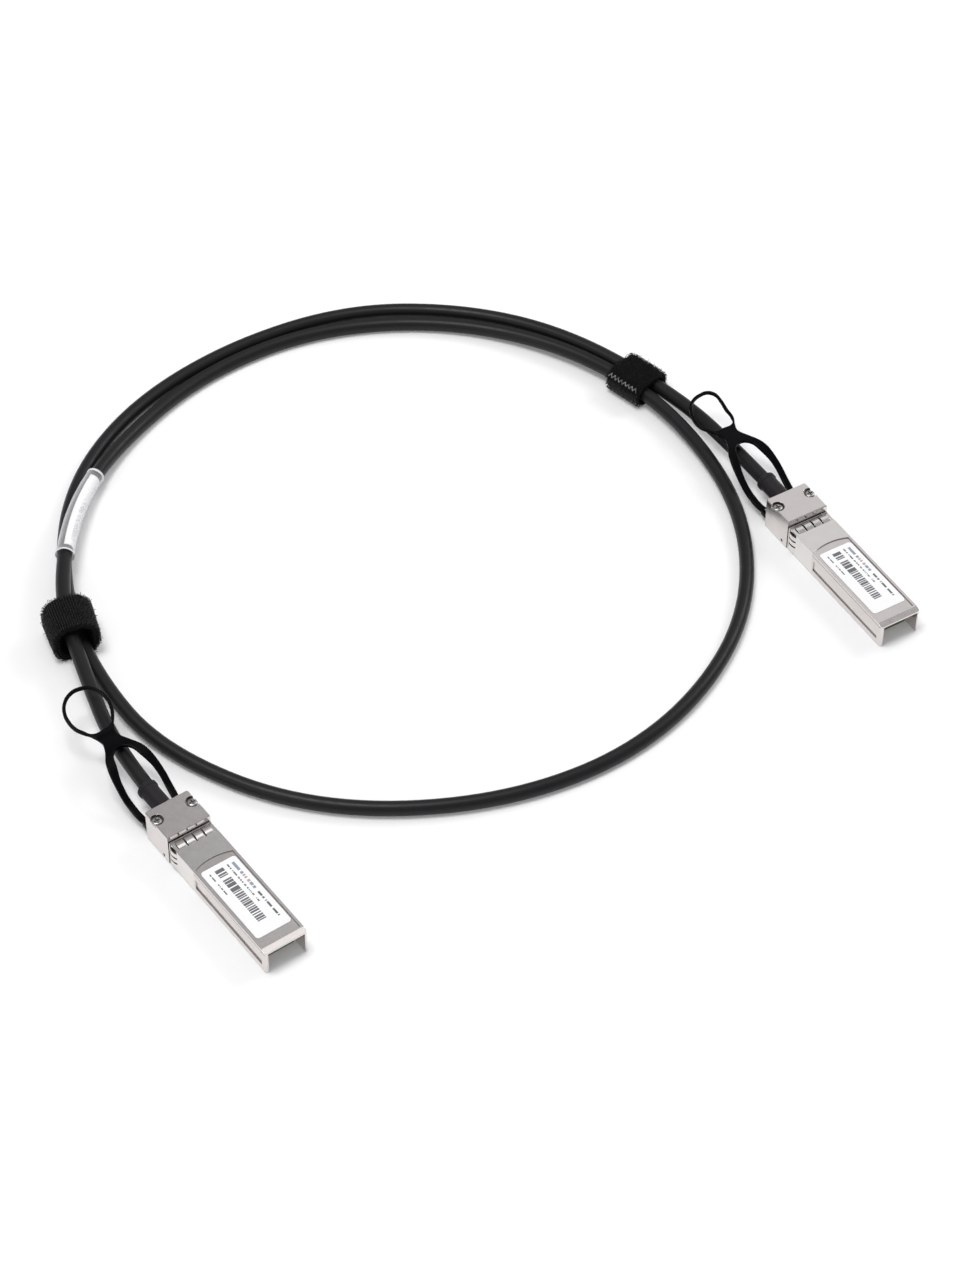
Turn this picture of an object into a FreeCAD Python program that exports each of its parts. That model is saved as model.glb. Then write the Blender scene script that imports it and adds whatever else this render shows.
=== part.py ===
import FreeCAD, Part
import math
import os
from FreeCAD import Placement, Rotation, Vector

# Direct attach copper cable: two small form-factor plugs, one twinaxial cable coiled in a loop
# and held by two hook-and-loop straps. Millimetres. Each plug is drawn in its own frame:
# x forward out of the nose, y to the left, z up, with x = 0 at the stop face of the block.

# Plug outside
NOSE_LENGTH = 47.5
NOSE_WIDTH = 13.55
NOSE_HEIGHT = 8.5
BLOCK_LENGTH = 11.6
BLOCK_WIDTH = 14.0
BLOCK_HEIGHT = 10.6
BLOCK_CORNER = 0.4
BLOCK_TOP_CHAMFER = 0.25
NOSE_TIP_CHAMFER = 0.45

# Plug walls and inside
SIDE_WALL = 0.9
FLOOR = 1.0
LID = 1.0
MOUTH_LENGTH = 10.4
GROOVE_DEPTH = 0.35
GROOVE_LOW = 1.9
GROOVE_HIGH = 5.6
GROOVE_TIP_GAP = 2.0
SEAM_DEPTH = 0.12
SEAM_HEIGHT = 0.15
FIT = 0.05
RUNNING_GAP = 0.3

# Label pocket in the lid and the label in it
POCKET_DEPTH = 0.35
POCKET_RIM = 0.75
LIP_LENGTH = 2.4
LIP_FLAT = 0.6
LIP_FALL = 0.45
LABEL_WIDTH = 11.2
LABEL_THICK = 0.12
LABEL_CORNER = 1.0
LABEL_BACK_GAP = 1.6
LABEL_FRONT_GAP = 3.1

# Contact collar
COLLAR_THICK = 0.2
COLLAR_BACK = 0.25
COLLAR_FRONT = 12.4
COLLAR_ARCH = 1.2
COLLAR_BOTTOM = 0.4
FINGER_BACK = 0.7
FINGER_LENGTH = 3.4
FINGER_RISE = 0.45
FINGER_SLIT = 0.2
TOP_FINGERS = 4
TOP_FINGER_WIDTH = 2.3
TOP_FINGER_PITCH = 2.9
SIDE_FINGERS = 3
SIDE_FINGER_WIDTH = 1.5
SIDE_FINGER_PITCH = 2.1
SIDE_FINGER_MIDDLE = 4.5

# Paddle card
CARD_LOW = 2.25
CARD_THICK = 1.0
CARD_BACK = 9.0
CARD_RECESS = 3.2
CARD_WIDTH = 11.2
TONGUE_WIDTH = 9.2
TONGUE_LENGTH = 8.3
LEDGE_WIDTH = 0.9
NOTCH_RADIUS = 0.6
NOTCH_AT = 20.0
CONTACTS = 10
CONTACT_PITCH = 0.8
CONTACT_WIDTH = 0.5
CONTACT_LENGTH = 4.2
CONTACT_THICK = 0.05
CONTACT_TIP_GAP = 0.5
HOLD_DOWN_LENGTH = 4.0
HOLD_DOWN_WIDTH = 0.7
CHIP_SIDE = 3.0
CHIP_HEIGHT = 0.85
CHIP_AT = 24.5
CAPACITOR = (1.0, 0.5, 0.5)
CAPACITOR_AT = 15.5
CAPACITOR_PITCH = 2.2

# Cable, its boot and its crimp
CABLE_DIAMETER = 4.4
CABLE_HEIGHT = 6.4
JACKET_STANDS_OUT = 0.05
BOOT_DIAMETER = 5.5
BOOT_LENGTH = 10.5
BOOT_COLLAR_DIAMETER = 6.1
BOOT_COLLAR_LENGTH = 1.8
FLANGE_DIAMETER = 7.2
FLANGE_LENGTH = 1.1
FLANGE_SET_IN = 3.2
FERRULE_WALL = 0.5
FERRULE_LENGTH = 3.6
FERRULE_SET_IN = 7.4
FERRULE_FLANGE = 0.5
CORE_DIAMETER = 1.0
CORE_SPREAD = 0.55
CORE_PAD_PITCH = 2.2

# Screws
SCREW_SET_IN = 4.4
SCREW_SIDE = 5.74
SCREW_SHANK = 1.4
SCREW_HEAD = 3.0
SCREW_HEAD_HEIGHT = 0.9
SCREW_LENGTH = 4.3
COUNTERBORE = 4.0
COUNTERBORE_DEPTH = 1.1
CROSS_WIDTH = 0.4
CROSS_SPAN = 1.8
CROSS_DEPTH = 0.45

# Latch: rocker on a pin under the block, slider that tips it, return springs
LATCH_WIDTH = 4.4
CHANNEL_GAP = 0.4
CHANNEL_BACK = -7.7
CHANNEL_FRONT = 6.8
CHANNEL_HEIGHT = 3.1
CHANNEL_WALL = 0.7
CHANNEL_ROOF = 0.6
PIN_AT = (-2.5, 1.25)
PIN_DIAMETER = 1.0
PIN_SET_IN = 0.45
ROCKER_HUB = 2.0
ROCKER_LOW = 0.95
ROCKER_THICK = 0.8
ROCKER_TAIL = -7.4
ROCKER_NOSE = 6.0
TAIL_RISE_FROM = -5.2
TAIL_TOP = 2.6
BOSS_SHOULDER = 3.0
BOSS_TIP = 0.6
BOSS_CLEAR = 0.12
PULL_TRAVEL = 2.5
SLIDER_THICK = 0.6
SLIDER_OUTSIDE = 5.9
SLIDER_LOW = 1.7
SLIDER_HIGH = 4.3
SLIDER_FRONT = -3.9
CROSSBAR_LENGTH = 1.1
CROSSBAR_LOW = 1.95
CROSSBAR_HIGH = 2.75
EAR_LENGTH = 1.5
SPRING_AT = 3.9
SPRING_DIAMETER = 1.3
SPRING_WIRE = 0.28
SPRING_TURNS = 5
SPRING_BACK = -10.3

# Pull tab: a flat strap with two arms, a hub and a finger ring
STRAP_THICK = 1.1
STRAP_END_HEIGHT = 3.0
STRAP_END_PAD = (2.6, 2.0, 2.2)
STRAP_CREST = 10.9
HUB_HEIGHT = 9.5
ARM_OUTSIDE = 6.2
ARM_BOW = 7.4
ARM_BOW_AT = -25.7
ARM_WIDTH = 2.1
FORK_AT = -35.6
WAIST_AT = -40.8
WAIST_WIDTH = 5.6
RING_AT = -51.4
RING_LENGTH = 15.8
RING_WIDTH = 14.1
RING_WALL = 1.0
RING_PITCH = {"a": 14.0, "b": 7.0}

# Straps round the coil and the marker sleeve on the cable
TIE_WIDTH = 14.0
TIE_THICK = 1.6
TIE_TAIL = 0.8
TIE_LEFT_AT = (15.3, 86.6)
TIE_LEFT_TURN = 68.5
TIE_LEFT_INSIDE = (9.8, 9.7)
TIE_LEFT_CORNERS = (2.7, 3.6)
TIE_RIGHT_AT = (213.4, 76.3)
TIE_RIGHT_TURN = -79.8
TIE_RIGHT_INSIDE = (10.4, 4.9)
TIE_RIGHT_CORNERS = (2.3, 2.3)
SLEEVE_WALL = 0.25
PAPER_WALL = 0.1
SLEEVE_END_GAP = 2.0

# Where the plugs lie: stop-line centre on the floor and heading of the nose, degrees
PLUG_A = (0.0, 0.0, -90.0)
PLUG_B = (214.06, -5.47, -94.98)

# The route's point that the marker sleeve lies round
MARKER_AT = (40.4, 127.2, 7.0)

# The cable's route from plug A round the loop to plug B, without its two ends inside the plugs
FIRST_RUN = 33.0
ROUTE = [
    (8.6, 68.0, 7.0),
    (17.4, 96.5, 9.2),
    MARKER_AT,
    (68.5, 147.6, 2.5),
    (107.6, 159.8, 2.2),
    (148.7, 156.2, 2.2),
    (185.6, 133.4, 2.2),
    (208.3, 96.2, 4.2),
    (214.2, 53.5, 3.9),
    (204.0, 9.0, 2.2),
    (173.2, -27.0, 2.2),
    (126.0, -45.0, 2.2),
    (78.0, -38.0, 2.2),
    (34.0, -9.0, 2.2),
    (12.0, 34.0, 2.2),
    (12.0, 70.0, 4.4),
    (22.5, 104.0, 3.5),
    (45.3, 138.4, 2.2),
    (78.0, 158.6, 2.2),
    (118.6, 165.0, 2.2),
    (160.4, 158.0, 2.2),
    (191.8, 135.1, 2.2),
    (210.2, 103.8, 3.9),
    (218.9, 62.5, 4.3),
]

# Worked out from the sizes above
PART_LINE = NOSE_HEIGHT - LID
HALF_NOSE = NOSE_WIDTH / 2
HALF_BLOCK = BLOCK_WIDTH / 2
HALF_INSIDE = HALF_NOSE - SIDE_WALL
MOUTH_BACK = NOSE_LENGTH - MOUTH_LENGTH
CARD_HIGH = CARD_LOW + CARD_THICK
CARD_FRONT = NOSE_LENGTH - CARD_RECESS
POCKET_FLOOR = NOSE_HEIGHT - POCKET_DEPTH
SCREW_SEAT = BLOCK_HEIGHT - COUNTERBORE_DEPTH
HALF_LATCH = LATCH_WIDTH / 2
HALF_CHANNEL = HALF_LATCH + CHANNEL_GAP
CHANNEL_TOP = CHANNEL_HEIGHT + CHANNEL_ROOF
CABLE_RADIUS = CABLE_DIAMETER / 2
BOOT_END = -BLOCK_LENGTH - BOOT_LENGTH
FLANGE_FRONT = FLANGE_SET_IN - BLOCK_LENGTH
FERRULE_FRONT = FERRULE_SET_IN - BLOCK_LENGTH
FERRULE_BACK = FERRULE_FRONT - FERRULE_LENGTH
JACKET_END = FERRULE_FRONT + JACKET_STANDS_OUT
FERRULE_RADIUS = CABLE_RADIUS + FERRULE_WALL
FERRULE_FLANGE_RADIUS = FERRULE_RADIUS + FERRULE_FLANGE
WIRE_ROOM_HALF = 5.0
WIRE_ROOM_TOP = 8.8
SLIDER_INSIDE = SLIDER_OUTSIDE - SLIDER_THICK


def box(x, y, z):
    """A box from three (low, high) pairs."""
    solid = Part.makeBox(x[1] - x[0], y[1] - y[0], z[1] - z[0])
    solid.translate(Vector(x[0], y[0], z[0]))
    return solid


def slab(x, half_width, z):
    """A box centred on the plug's middle plane."""
    return box(x, (-half_width, half_width), z)


def pair(x, y, z):
    """The same box on the left and the right."""
    return [box(x, y, z), box(x, (-y[1], -y[0]), z)]


def rod(radius, x, y=0.0, z=CABLE_HEIGHT):
    """A cylinder along the plug, from x[0] to x[1]."""
    return Part.makeCylinder(radius, x[1] - x[0], Vector(x[0], y, z), Vector(1, 0, 0))


def fused(first, *others):
    """One solid from touching ones."""
    return first.fuse(list(others)).removeSplitter()


def closed_face(edges):
    """A flat face from edges in any order."""
    return Part.Face(Part.Wire(Part.__sortEdges__(edges)))


def polygon(points):
    """A flat face from its corners."""
    return Part.Face(Part.makePolygon(list(points) + [points[0]]))


def arc(start, through, end):
    """An arc through three points."""
    return Part.Arc(start, through, end).toShape()


def line(start, end):
    """A straight edge."""
    return Part.LineSegment(start, end).toShape()


def block_blank(z):
    """The block's plan with its two back corners taken off."""
    corner = BLOCK_CORNER
    plan = [
        Vector(0, -HALF_BLOCK, z[0]),
        Vector(0, HALF_BLOCK, z[0]),
        Vector(corner - BLOCK_LENGTH, HALF_BLOCK, z[0]),
        Vector(-BLOCK_LENGTH, HALF_BLOCK - corner, z[0]),
        Vector(-BLOCK_LENGTH, corner - HALF_BLOCK, z[0]),
        Vector(corner - BLOCK_LENGTH, -HALF_BLOCK, z[0]),
    ]
    return polygon(plan).extrude(Vector(0, 0, z[1] - z[0]))


def nose_blank(z):
    """The nose's plan with a small lead-in at the tip."""
    tip = NOSE_TIP_CHAMFER
    plan = [
        Vector(0, -HALF_NOSE, z[0]),
        Vector(NOSE_LENGTH - tip, -HALF_NOSE, z[0]),
        Vector(NOSE_LENGTH, tip - HALF_NOSE, z[0]),
        Vector(NOSE_LENGTH, HALF_NOSE - tip, z[0]),
        Vector(NOSE_LENGTH - tip, HALF_NOSE, z[0]),
        Vector(0, HALF_NOSE, z[0]),
    ]
    return polygon(plan).extrude(Vector(0, 0, z[1] - z[0]))


def collar_reach(back):
    """Everything behind the collar's front edge, which bows back in the middle of the plug."""
    low, high = -1.0, BLOCK_HEIGHT + 1.0
    side = HALF_NOSE + 1.0
    corners = [Vector(COLLAR_FRONT, -side, low), Vector(back, -side, low)]
    corners += [Vector(back, side, low), Vector(COLLAR_FRONT, side, low)]
    edges = [line(a, b) for a, b in zip(corners, corners[1:])]
    rim = HALF_NOSE - POCKET_RIM
    left, right = Vector(COLLAR_FRONT, rim, low), Vector(COLLAR_FRONT, -rim, low)
    edges.append(line(corners[-1], left))
    edges.append(arc(left, Vector(COLLAR_FRONT - COLLAR_ARCH, 0, low), right))
    edges.append(line(right, corners[0]))
    return closed_face(edges).extrude(Vector(0, 0, high - low))


def collar_blank(back):
    """The sheet-metal band round the top and the sides of the nose."""
    x = (back, COLLAR_FRONT)
    inside = HALF_NOSE - COLLAR_THICK
    outer = slab(x, HALF_NOSE, (COLLAR_BOTTOM, NOSE_HEIGHT))
    inner = slab((back - 1, COLLAR_FRONT + 1), inside, (-1, NOSE_HEIGHT - COLLAR_THICK))
    return outer.cut(inner).common(collar_reach(back))


def cable_way():
    """The room that the boot, its flange and the crimp ferrule take up in the block."""
    boot = rod(BOOT_DIAMETER / 2, (-BLOCK_LENGTH - 1, FLANGE_FRONT - FLANGE_LENGTH / 2))
    flange = rod(FLANGE_DIAMETER / 2, (FLANGE_FRONT - FLANGE_LENGTH, FLANGE_FRONT))
    ferrule = rod(FERRULE_RADIUS + FIT, (FLANGE_FRONT - FLANGE_LENGTH / 2, FERRULE_FRONT + 1))
    middle = (FERRULE_FRONT + FERRULE_BACK) / 2
    lock = rod(FERRULE_FLANGE_RADIUS + FIT, (middle - FIT, FERRULE_FRONT + FIT))
    room = slab((FERRULE_FRONT + FIT, 0), WIRE_ROOM_HALF, (CHANNEL_TOP, WIRE_ROOM_TOP))
    return [boot, flange, ferrule, lock, room]


def screw_places():
    """The middles of the two cover screws."""
    return [(SCREW_SET_IN - BLOCK_LENGTH, SCREW_SIDE * side) for side in (-1, 1)]


def latch_room():
    """The channel, slots and bores of the latch, open below and behind."""
    gap = RUNNING_GAP
    channel = slab((CHANNEL_BACK, CHANNEL_FRONT), HALF_CHANNEL, (-1, CHANNEL_HEIGHT))
    bar_front = SLIDER_FRONT + gap / 2
    bar_back = SLIDER_FRONT - CROSSBAR_LENGTH - PULL_TRAVEL - gap
    bar = slab((bar_back, bar_front), SLIDER_INSIDE, (CROSSBAR_LOW - gap / 2, CROSSBAR_HIGH + gap / 2))
    slots = pair(
        (-BLOCK_LENGTH - 1, bar_front),
        (SLIDER_INSIDE - gap, SLIDER_OUTSIDE + gap),
        (SLIDER_LOW - gap, SLIDER_HIGH + gap),
    )
    radius = SPRING_DIAMETER / 2 + 0.1
    height = (CROSSBAR_LOW + CROSSBAR_HIGH) / 2
    bores = [rod(radius, (SPRING_BACK, bar_front), y * SPRING_AT, height) for y in (-1, 1)]
    pin = Part.makeCylinder(
        PIN_DIAMETER / 2, BLOCK_WIDTH + 2, Vector(PIN_AT[0], -HALF_BLOCK - 1, PIN_AT[1]), Vector(0, 1, 0)
    )
    return [channel, bar, pin] + slots + bores


def base_housing():
    """Die-cast lower half: floor, side walls, open mouth, card ledges and the latch's room."""
    body = fused(block_blank((0, PART_LINE)), nose_blank((0, PART_LINE)))
    body = body.cut(slab((0, NOSE_LENGTH + 1), HALF_INSIDE, (FLOOR, PART_LINE + 1)))
    body = body.cut(slab((MOUTH_BACK, NOSE_LENGTH + 1), HALF_INSIDE, (-1, FLOOR + 1)))
    ledge = (HALF_INSIDE - LEDGE_WIDTH, HALF_INSIDE)
    adds = pair((CARD_BACK - FIT, MOUTH_BACK), ledge, (FLOOR, CARD_LOW))
    front_wall = CHANNEL_FRONT + CHANNEL_WALL
    adds.append(slab((0, front_wall), HALF_CHANNEL + CHANNEL_WALL, (FLOOR, CHANNEL_TOP)))
    for side in (-1, 1):
        post = Part.makeCylinder(
            NOTCH_RADIUS - FIT, CARD_THICK * 2 + CARD_LOW - FLOOR, Vector(NOTCH_AT, side * HALF_INSIDE, FLOOR)
        )
        adds.append(post.common(slab((0, NOSE_LENGTH), HALF_NOSE - SIDE_WALL / 2, (0, PART_LINE))))
    body = fused(body, *adds)
    cuts = cable_way() + latch_room() + [collar_blank(0)]
    for x, y in screw_places():
        cuts.append(Part.makeCylinder(SCREW_SHANK / 2, SCREW_LENGTH, Vector(x, y, SCREW_SEAT - SCREW_LENGTH)))
    grooves = (HALF_NOSE - GROOVE_DEPTH, HALF_NOSE + 1)
    cuts += pair((COLLAR_FRONT + 0.8, NOSE_LENGTH - GROOVE_TIP_GAP), grooves, (GROOVE_LOW, GROOVE_HIGH))
    seam = (HALF_NOSE - SEAM_DEPTH, HALF_NOSE + 1)
    cuts += pair((COLLAR_FRONT, NOSE_LENGTH + 1), seam, (PART_LINE - SEAM_HEIGHT, PART_LINE + 1))
    return body.cut(cuts)


def lip_slope():
    """What the lid's front lip loses as it falls away towards the tip."""
    start, side = NOSE_LENGTH - LIP_LENGTH + LIP_FLAT, HALF_NOSE + 1
    fall = LIP_FALL / (NOSE_LENGTH - start)
    wedge = polygon([
        Vector(start, -side, NOSE_HEIGHT),
        Vector(NOSE_LENGTH + 1, -side, NOSE_HEIGHT - fall * (NOSE_LENGTH + 1 - start)),
        Vector(NOSE_LENGTH + 1, -side, NOSE_HEIGHT + 1),
        Vector(start, -side, NOSE_HEIGHT + 1),
    ])
    return wedge.extrude(Vector(0, 2 * side, 0))


def top_cover():
    """Die-cast upper half: lid with the label pocket, raised block top, screw seats, hold-downs."""
    block = block_blank((PART_LINE, BLOCK_HEIGHT))
    top = [e for e in block.Edges if min(v.Z for v in e.Vertexes) > BLOCK_HEIGHT - FIT]
    block = block.makeChamfer(BLOCK_TOP_CHAMFER, top)
    body = fused(block, nose_blank((PART_LINE, NOSE_HEIGHT)).cut(lip_slope()))
    inside = HALF_INSIDE - FIT
    ribs = (inside - HOLD_DOWN_WIDTH, inside)
    holds = []
    for x in (CARD_BACK + 2.0, MOUTH_BACK - 2.0 - HOLD_DOWN_LENGTH):
        holds += pair((x, x + HOLD_DOWN_LENGTH), ribs, (CARD_HIGH, PART_LINE))
    body = fused(body, *holds)
    pocket = slab(
        (COLLAR_FRONT - COLLAR_ARCH - 1, NOSE_LENGTH - LIP_LENGTH),
        HALF_NOSE - POCKET_RIM,
        (POCKET_FLOOR, NOSE_HEIGHT + 1),
    ).cut(collar_reach(-1))
    cuts = cable_way() + [collar_blank(0), pocket]
    for x, y in screw_places():
        cuts.append(Part.makeCylinder(COUNTERBORE / 2, COUNTERBORE_DEPTH + 1, Vector(x, y, SCREW_SEAT)))
        cuts.append(Part.makeCylinder(SCREW_SHANK / 2 + FIT, BLOCK_HEIGHT, Vector(x, y, 0)))
    return body.cut(cuts)


def bowed_finger(width):
    """A spring finger along x: a thin strip bowed up out of the sheet, from z = 0."""
    half = width / 2
    low = [Vector(0, -half, 0), Vector(FINGER_LENGTH / 2, -half, FINGER_RISE), Vector(FINGER_LENGTH, -half, 0)]
    high = [p + Vector(0, 0, COLLAR_THICK) for p in low]
    edges = [arc(*low), arc(*high), line(low[0], high[0]), line(low[2], high[2])]
    return closed_face(edges).extrude(Vector(0, width, 0))


def finger_slots():
    """(place, turn about x, width) of each spring finger on the top and the sides."""
    found = []
    for i in range(TOP_FINGERS):
        y = (i - (TOP_FINGERS - 1) / 2) * TOP_FINGER_PITCH
        found.append((Vector(FINGER_BACK, y, NOSE_HEIGHT - COLLAR_THICK), 0, TOP_FINGER_WIDTH))
    for side in (-1, 1):
        for i in range(SIDE_FINGERS):
            z = SIDE_FINGER_MIDDLE + (i - (SIDE_FINGERS - 1) / 2) * SIDE_FINGER_PITCH
            place = Vector(FINGER_BACK, side * (HALF_NOSE - COLLAR_THICK), z)
            found.append((place, -90 * side, SIDE_FINGER_WIDTH))
    return found


def emi_collar():
    """Sheet-metal band with a row of spring fingers on the top and on each side."""
    band = collar_blank(COLLAR_BACK)
    for place, turn, width in finger_slots():
        half = width / 2 + FINGER_SLIT
        window = box((0, FINGER_LENGTH), (-half, half), (-COLLAR_THICK, 2 * COLLAR_THICK))
        finger = bowed_finger(width)
        for solid in (window, finger):
            solid.Placement = Placement(place, Rotation(Vector(1, 0, 0), turn))
        band = band.cut(window).fuse(finger)
    return band.removeSplitter()


def paddle_card():
    """Circuit board: a wide body on the ledges and a narrow tongue in the mouth."""
    body = slab((CARD_BACK, CARD_FRONT - TONGUE_LENGTH), CARD_WIDTH / 2, (CARD_LOW, CARD_HIGH))
    half, tip = TONGUE_WIDTH / 2, 0.4
    back = CARD_FRONT - TONGUE_LENGTH
    tongue = polygon([
        Vector(back, -half, CARD_LOW),
        Vector(CARD_FRONT - tip, -half, CARD_LOW),
        Vector(CARD_FRONT, tip - half, CARD_LOW),
        Vector(CARD_FRONT, half - tip, CARD_LOW),
        Vector(CARD_FRONT - tip, half, CARD_LOW),
        Vector(back, half, CARD_LOW),
    ]).extrude(Vector(0, 0, CARD_THICK))
    notches = [
        Part.makeCylinder(NOTCH_RADIUS, CARD_THICK + 2, Vector(NOTCH_AT, side * HALF_INSIDE, CARD_LOW - 1))
        for side in (-1, 1)
    ]
    return fused(body, tongue).cut(notches)


def edge_contacts():
    """Gold pads on both faces of the tongue."""
    x = (CARD_FRONT - CONTACT_TIP_GAP - CONTACT_LENGTH, CARD_FRONT - CONTACT_TIP_GAP)
    pads = []
    for i in range(CONTACTS):
        middle = (i - (CONTACTS - 1) / 2) * CONTACT_PITCH
        y = (middle - CONTACT_WIDTH / 2, middle + CONTACT_WIDTH / 2)
        pads.append(box(x, y, (CARD_HIGH, CARD_HIGH + CONTACT_THICK)))
        pads.append(box(x, y, (CARD_LOW - CONTACT_THICK, CARD_LOW)))
    return Part.makeCompound(pads)


def memory_chip():
    """The small identity memory on the card, with a row of legs on two sides."""
    half, foot = CHIP_SIDE / 2, 0.6
    body = box((CHIP_AT - half, CHIP_AT + half), (-half, half), (CARD_HIGH + 0.1, CARD_HIGH + CHIP_HEIGHT))
    legs = []
    for i in range(4):
        x = CHIP_AT + (i - 1.5) * 0.65
        legs.append(slab((x - 0.15, x + 0.15), half + foot, (CARD_HIGH, CARD_HIGH + 0.25)))
    return fused(body, *legs)


def blocking_capacitors():
    """Four small capacitors, one in each signal line."""
    length, width, height = CAPACITOR
    solids = []
    for i in range(4):
        y = (i - 1.5) * CAPACITOR_PITCH
        solids.append(
            box((CAPACITOR_AT, CAPACITOR_AT + length), (y - width / 2, y + width / 2), (CARD_HIGH, CARD_HIGH + height))
        )
    return Part.makeCompound(solids)


def tube_path(points):
    """(edges, radii) of straight runs joined by tangent arcs, each arc as large as its runs allow."""
    edges, radii = [], []
    last = points[0]
    for before, corner, after in zip(points, points[1:], points[2:]):
        back, ahead = before - corner, after - corner
        reach = 0.45 * min(back.Length, ahead.Length)
        back.normalize()
        ahead.normalize()
        start, end = corner + back * reach, corner + ahead * reach
        half_turn = (math.pi - back.getAngle(ahead)) / 2
        radius = reach / math.tan(half_turn)
        inward = (back + ahead).normalize()
        middle = corner + inward * (radius / math.cos(half_turn) - radius)
        edges += [line(last, start), arc(start, middle, end)]
        radii.append(radius)
        last = end
    edges.append(line(last, points[-1]))
    return edges, radii


def tube(edges, radius):
    """A round solid along edges that follow on from each other."""
    start = edges[0].valueAt(edges[0].FirstParameter)
    along = edges[0].tangentAt(edges[0].FirstParameter)
    ring = Part.Wire([Part.makeCircle(radius, start, along)])
    return Part.Wire(edges).makePipeShell([ring], True, False)


def conductor_pairs():
    """The four insulated cores, from the end of the jacket down to the card's pads."""
    top = CABLE_HEIGHT
    land = CARD_HIGH + CORE_DIAMETER / 2
    cores = []
    for i in range(4):
        side = -1 if i < 2 else 1
        outer = i in (0, 3)
        y, pad = side * CORE_SPREAD, (i - 1.5) * CORE_PAD_PITCH
        z = top + (-CORE_SPREAD if outer else CORE_SPREAD)
        points = [
            Vector(JACKET_END, y, z),
            Vector(1.5, y, z),
            Vector(CARD_BACK + 1.0, pad, land),
            Vector(CARD_BACK + 4.0, pad, land),
        ]
        cores.append(tube(tube_path(points)[0], CORE_DIAMETER / 2))
    return Part.makeCompound(cores)


def turned(profile):
    """A solid of revolution about the cable's axis in the plug, from (x, radius) corners."""
    corners = [Vector(x, 0, CABLE_HEIGHT + r) for x, r in profile]
    return polygon(corners).revolve(Vector(0, 0, CABLE_HEIGHT), Vector(1, 0, 0), 360)


def crimp_ferrule():
    """The crimped sleeve on the jacket's end, with a flange that locks it in the housing."""
    middle = (FERRULE_FRONT + FERRULE_BACK) / 2
    return turned([
        (FERRULE_BACK, CABLE_RADIUS),
        (FERRULE_BACK, FERRULE_RADIUS),
        (middle, FERRULE_RADIUS),
        (middle, FERRULE_FLANGE_RADIUS),
        (FERRULE_FRONT, FERRULE_FLANGE_RADIUS),
        (FERRULE_FRONT, CABLE_RADIUS),
    ])


def cable_boot():
    """The moulded strain relief: a flange held in the block, a sleeve and a thicker end collar."""
    radius, collar, edge = BOOT_DIAMETER / 2, BOOT_COLLAR_DIAMETER / 2, 0.35
    return turned([
        (BOOT_END, CABLE_RADIUS),
        (BOOT_END, collar - edge),
        (BOOT_END + edge, collar),
        (BOOT_END + BOOT_COLLAR_LENGTH - edge, collar),
        (BOOT_END + BOOT_COLLAR_LENGTH, radius),
        (FLANGE_FRONT - FLANGE_LENGTH, radius),
        (FLANGE_FRONT - FLANGE_LENGTH, FLANGE_DIAMETER / 2),
        (FLANGE_FRONT, FLANGE_DIAMETER / 2),
        (FLANGE_FRONT, CABLE_RADIUS),
    ])


def cover_screws():
    """Two pan-head screws with a cross recess."""
    screws = []
    for x, y in screw_places():
        head = Part.makeCylinder(SCREW_HEAD / 2, SCREW_HEAD_HEIGHT, Vector(x, y, SCREW_SEAT))
        rim = [e for e in head.Edges if e.Length > SCREW_HEAD and e.BoundBox.ZMin > SCREW_SEAT + FIT]
        head = head.makeFillet(SCREW_HEAD_HEIGHT * 0.6, rim)
        shank = Part.makeCylinder(SCREW_SHANK / 2, SCREW_LENGTH, Vector(x, y, SCREW_SEAT - SCREW_LENGTH))
        screw = fused(head, shank)
        top = SCREW_SEAT + SCREW_HEAD_HEIGHT
        for long, short in ((CROSS_SPAN, CROSS_WIDTH), (CROSS_WIDTH, CROSS_SPAN)):
            slot = Part.makeBox(long, short, CROSS_DEPTH + 1)
            slot.translate(Vector(x - long / 2, y - short / 2, top - CROSS_DEPTH))
            screw = screw.cut(slot)
        screws.append(screw)
    return Part.makeCompound(screws)


def latch_rocker():
    """The lever on the pin: a boss that catches the cage in front and a sloped tail behind."""
    high = ROCKER_LOW + ROCKER_THICK
    side = [
        Vector(ROCKER_TAIL, -HALF_LATCH, ROCKER_LOW),
        Vector(BOSS_SHOULDER, -HALF_LATCH, ROCKER_LOW),
        Vector(BOSS_SHOULDER, -HALF_LATCH, BOSS_CLEAR),
        Vector(BOSS_SHOULDER + BOSS_TIP, -HALF_LATCH, BOSS_CLEAR),
        Vector(ROCKER_NOSE, -HALF_LATCH, ROCKER_LOW),
        Vector(ROCKER_NOSE, -HALF_LATCH, high),
        Vector(TAIL_RISE_FROM, -HALF_LATCH, high),
        Vector(ROCKER_TAIL, -HALF_LATCH, TAIL_TOP),
    ]
    lever = polygon(side).extrude(Vector(0, LATCH_WIDTH, 0))
    pivot = Vector(PIN_AT[0], -HALF_LATCH, PIN_AT[1])
    hub = Part.makeCylinder(ROCKER_HUB / 2, LATCH_WIDTH, pivot, Vector(0, 1, 0))
    bore = Part.makeCylinder(PIN_DIAMETER / 2 + FIT, LATCH_WIDTH, pivot, Vector(0, 1, 0))
    return fused(lever, hub).cut(bore)


def pivot_pin():
    """The pin across the block that the rocker turns on, its ends a little inside the block's sides."""
    half = HALF_BLOCK - PIN_SET_IN
    return Part.makeCylinder(PIN_DIAMETER / 2, 2 * half, Vector(PIN_AT[0], -half, PIN_AT[1]), Vector(0, 1, 0))


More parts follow.
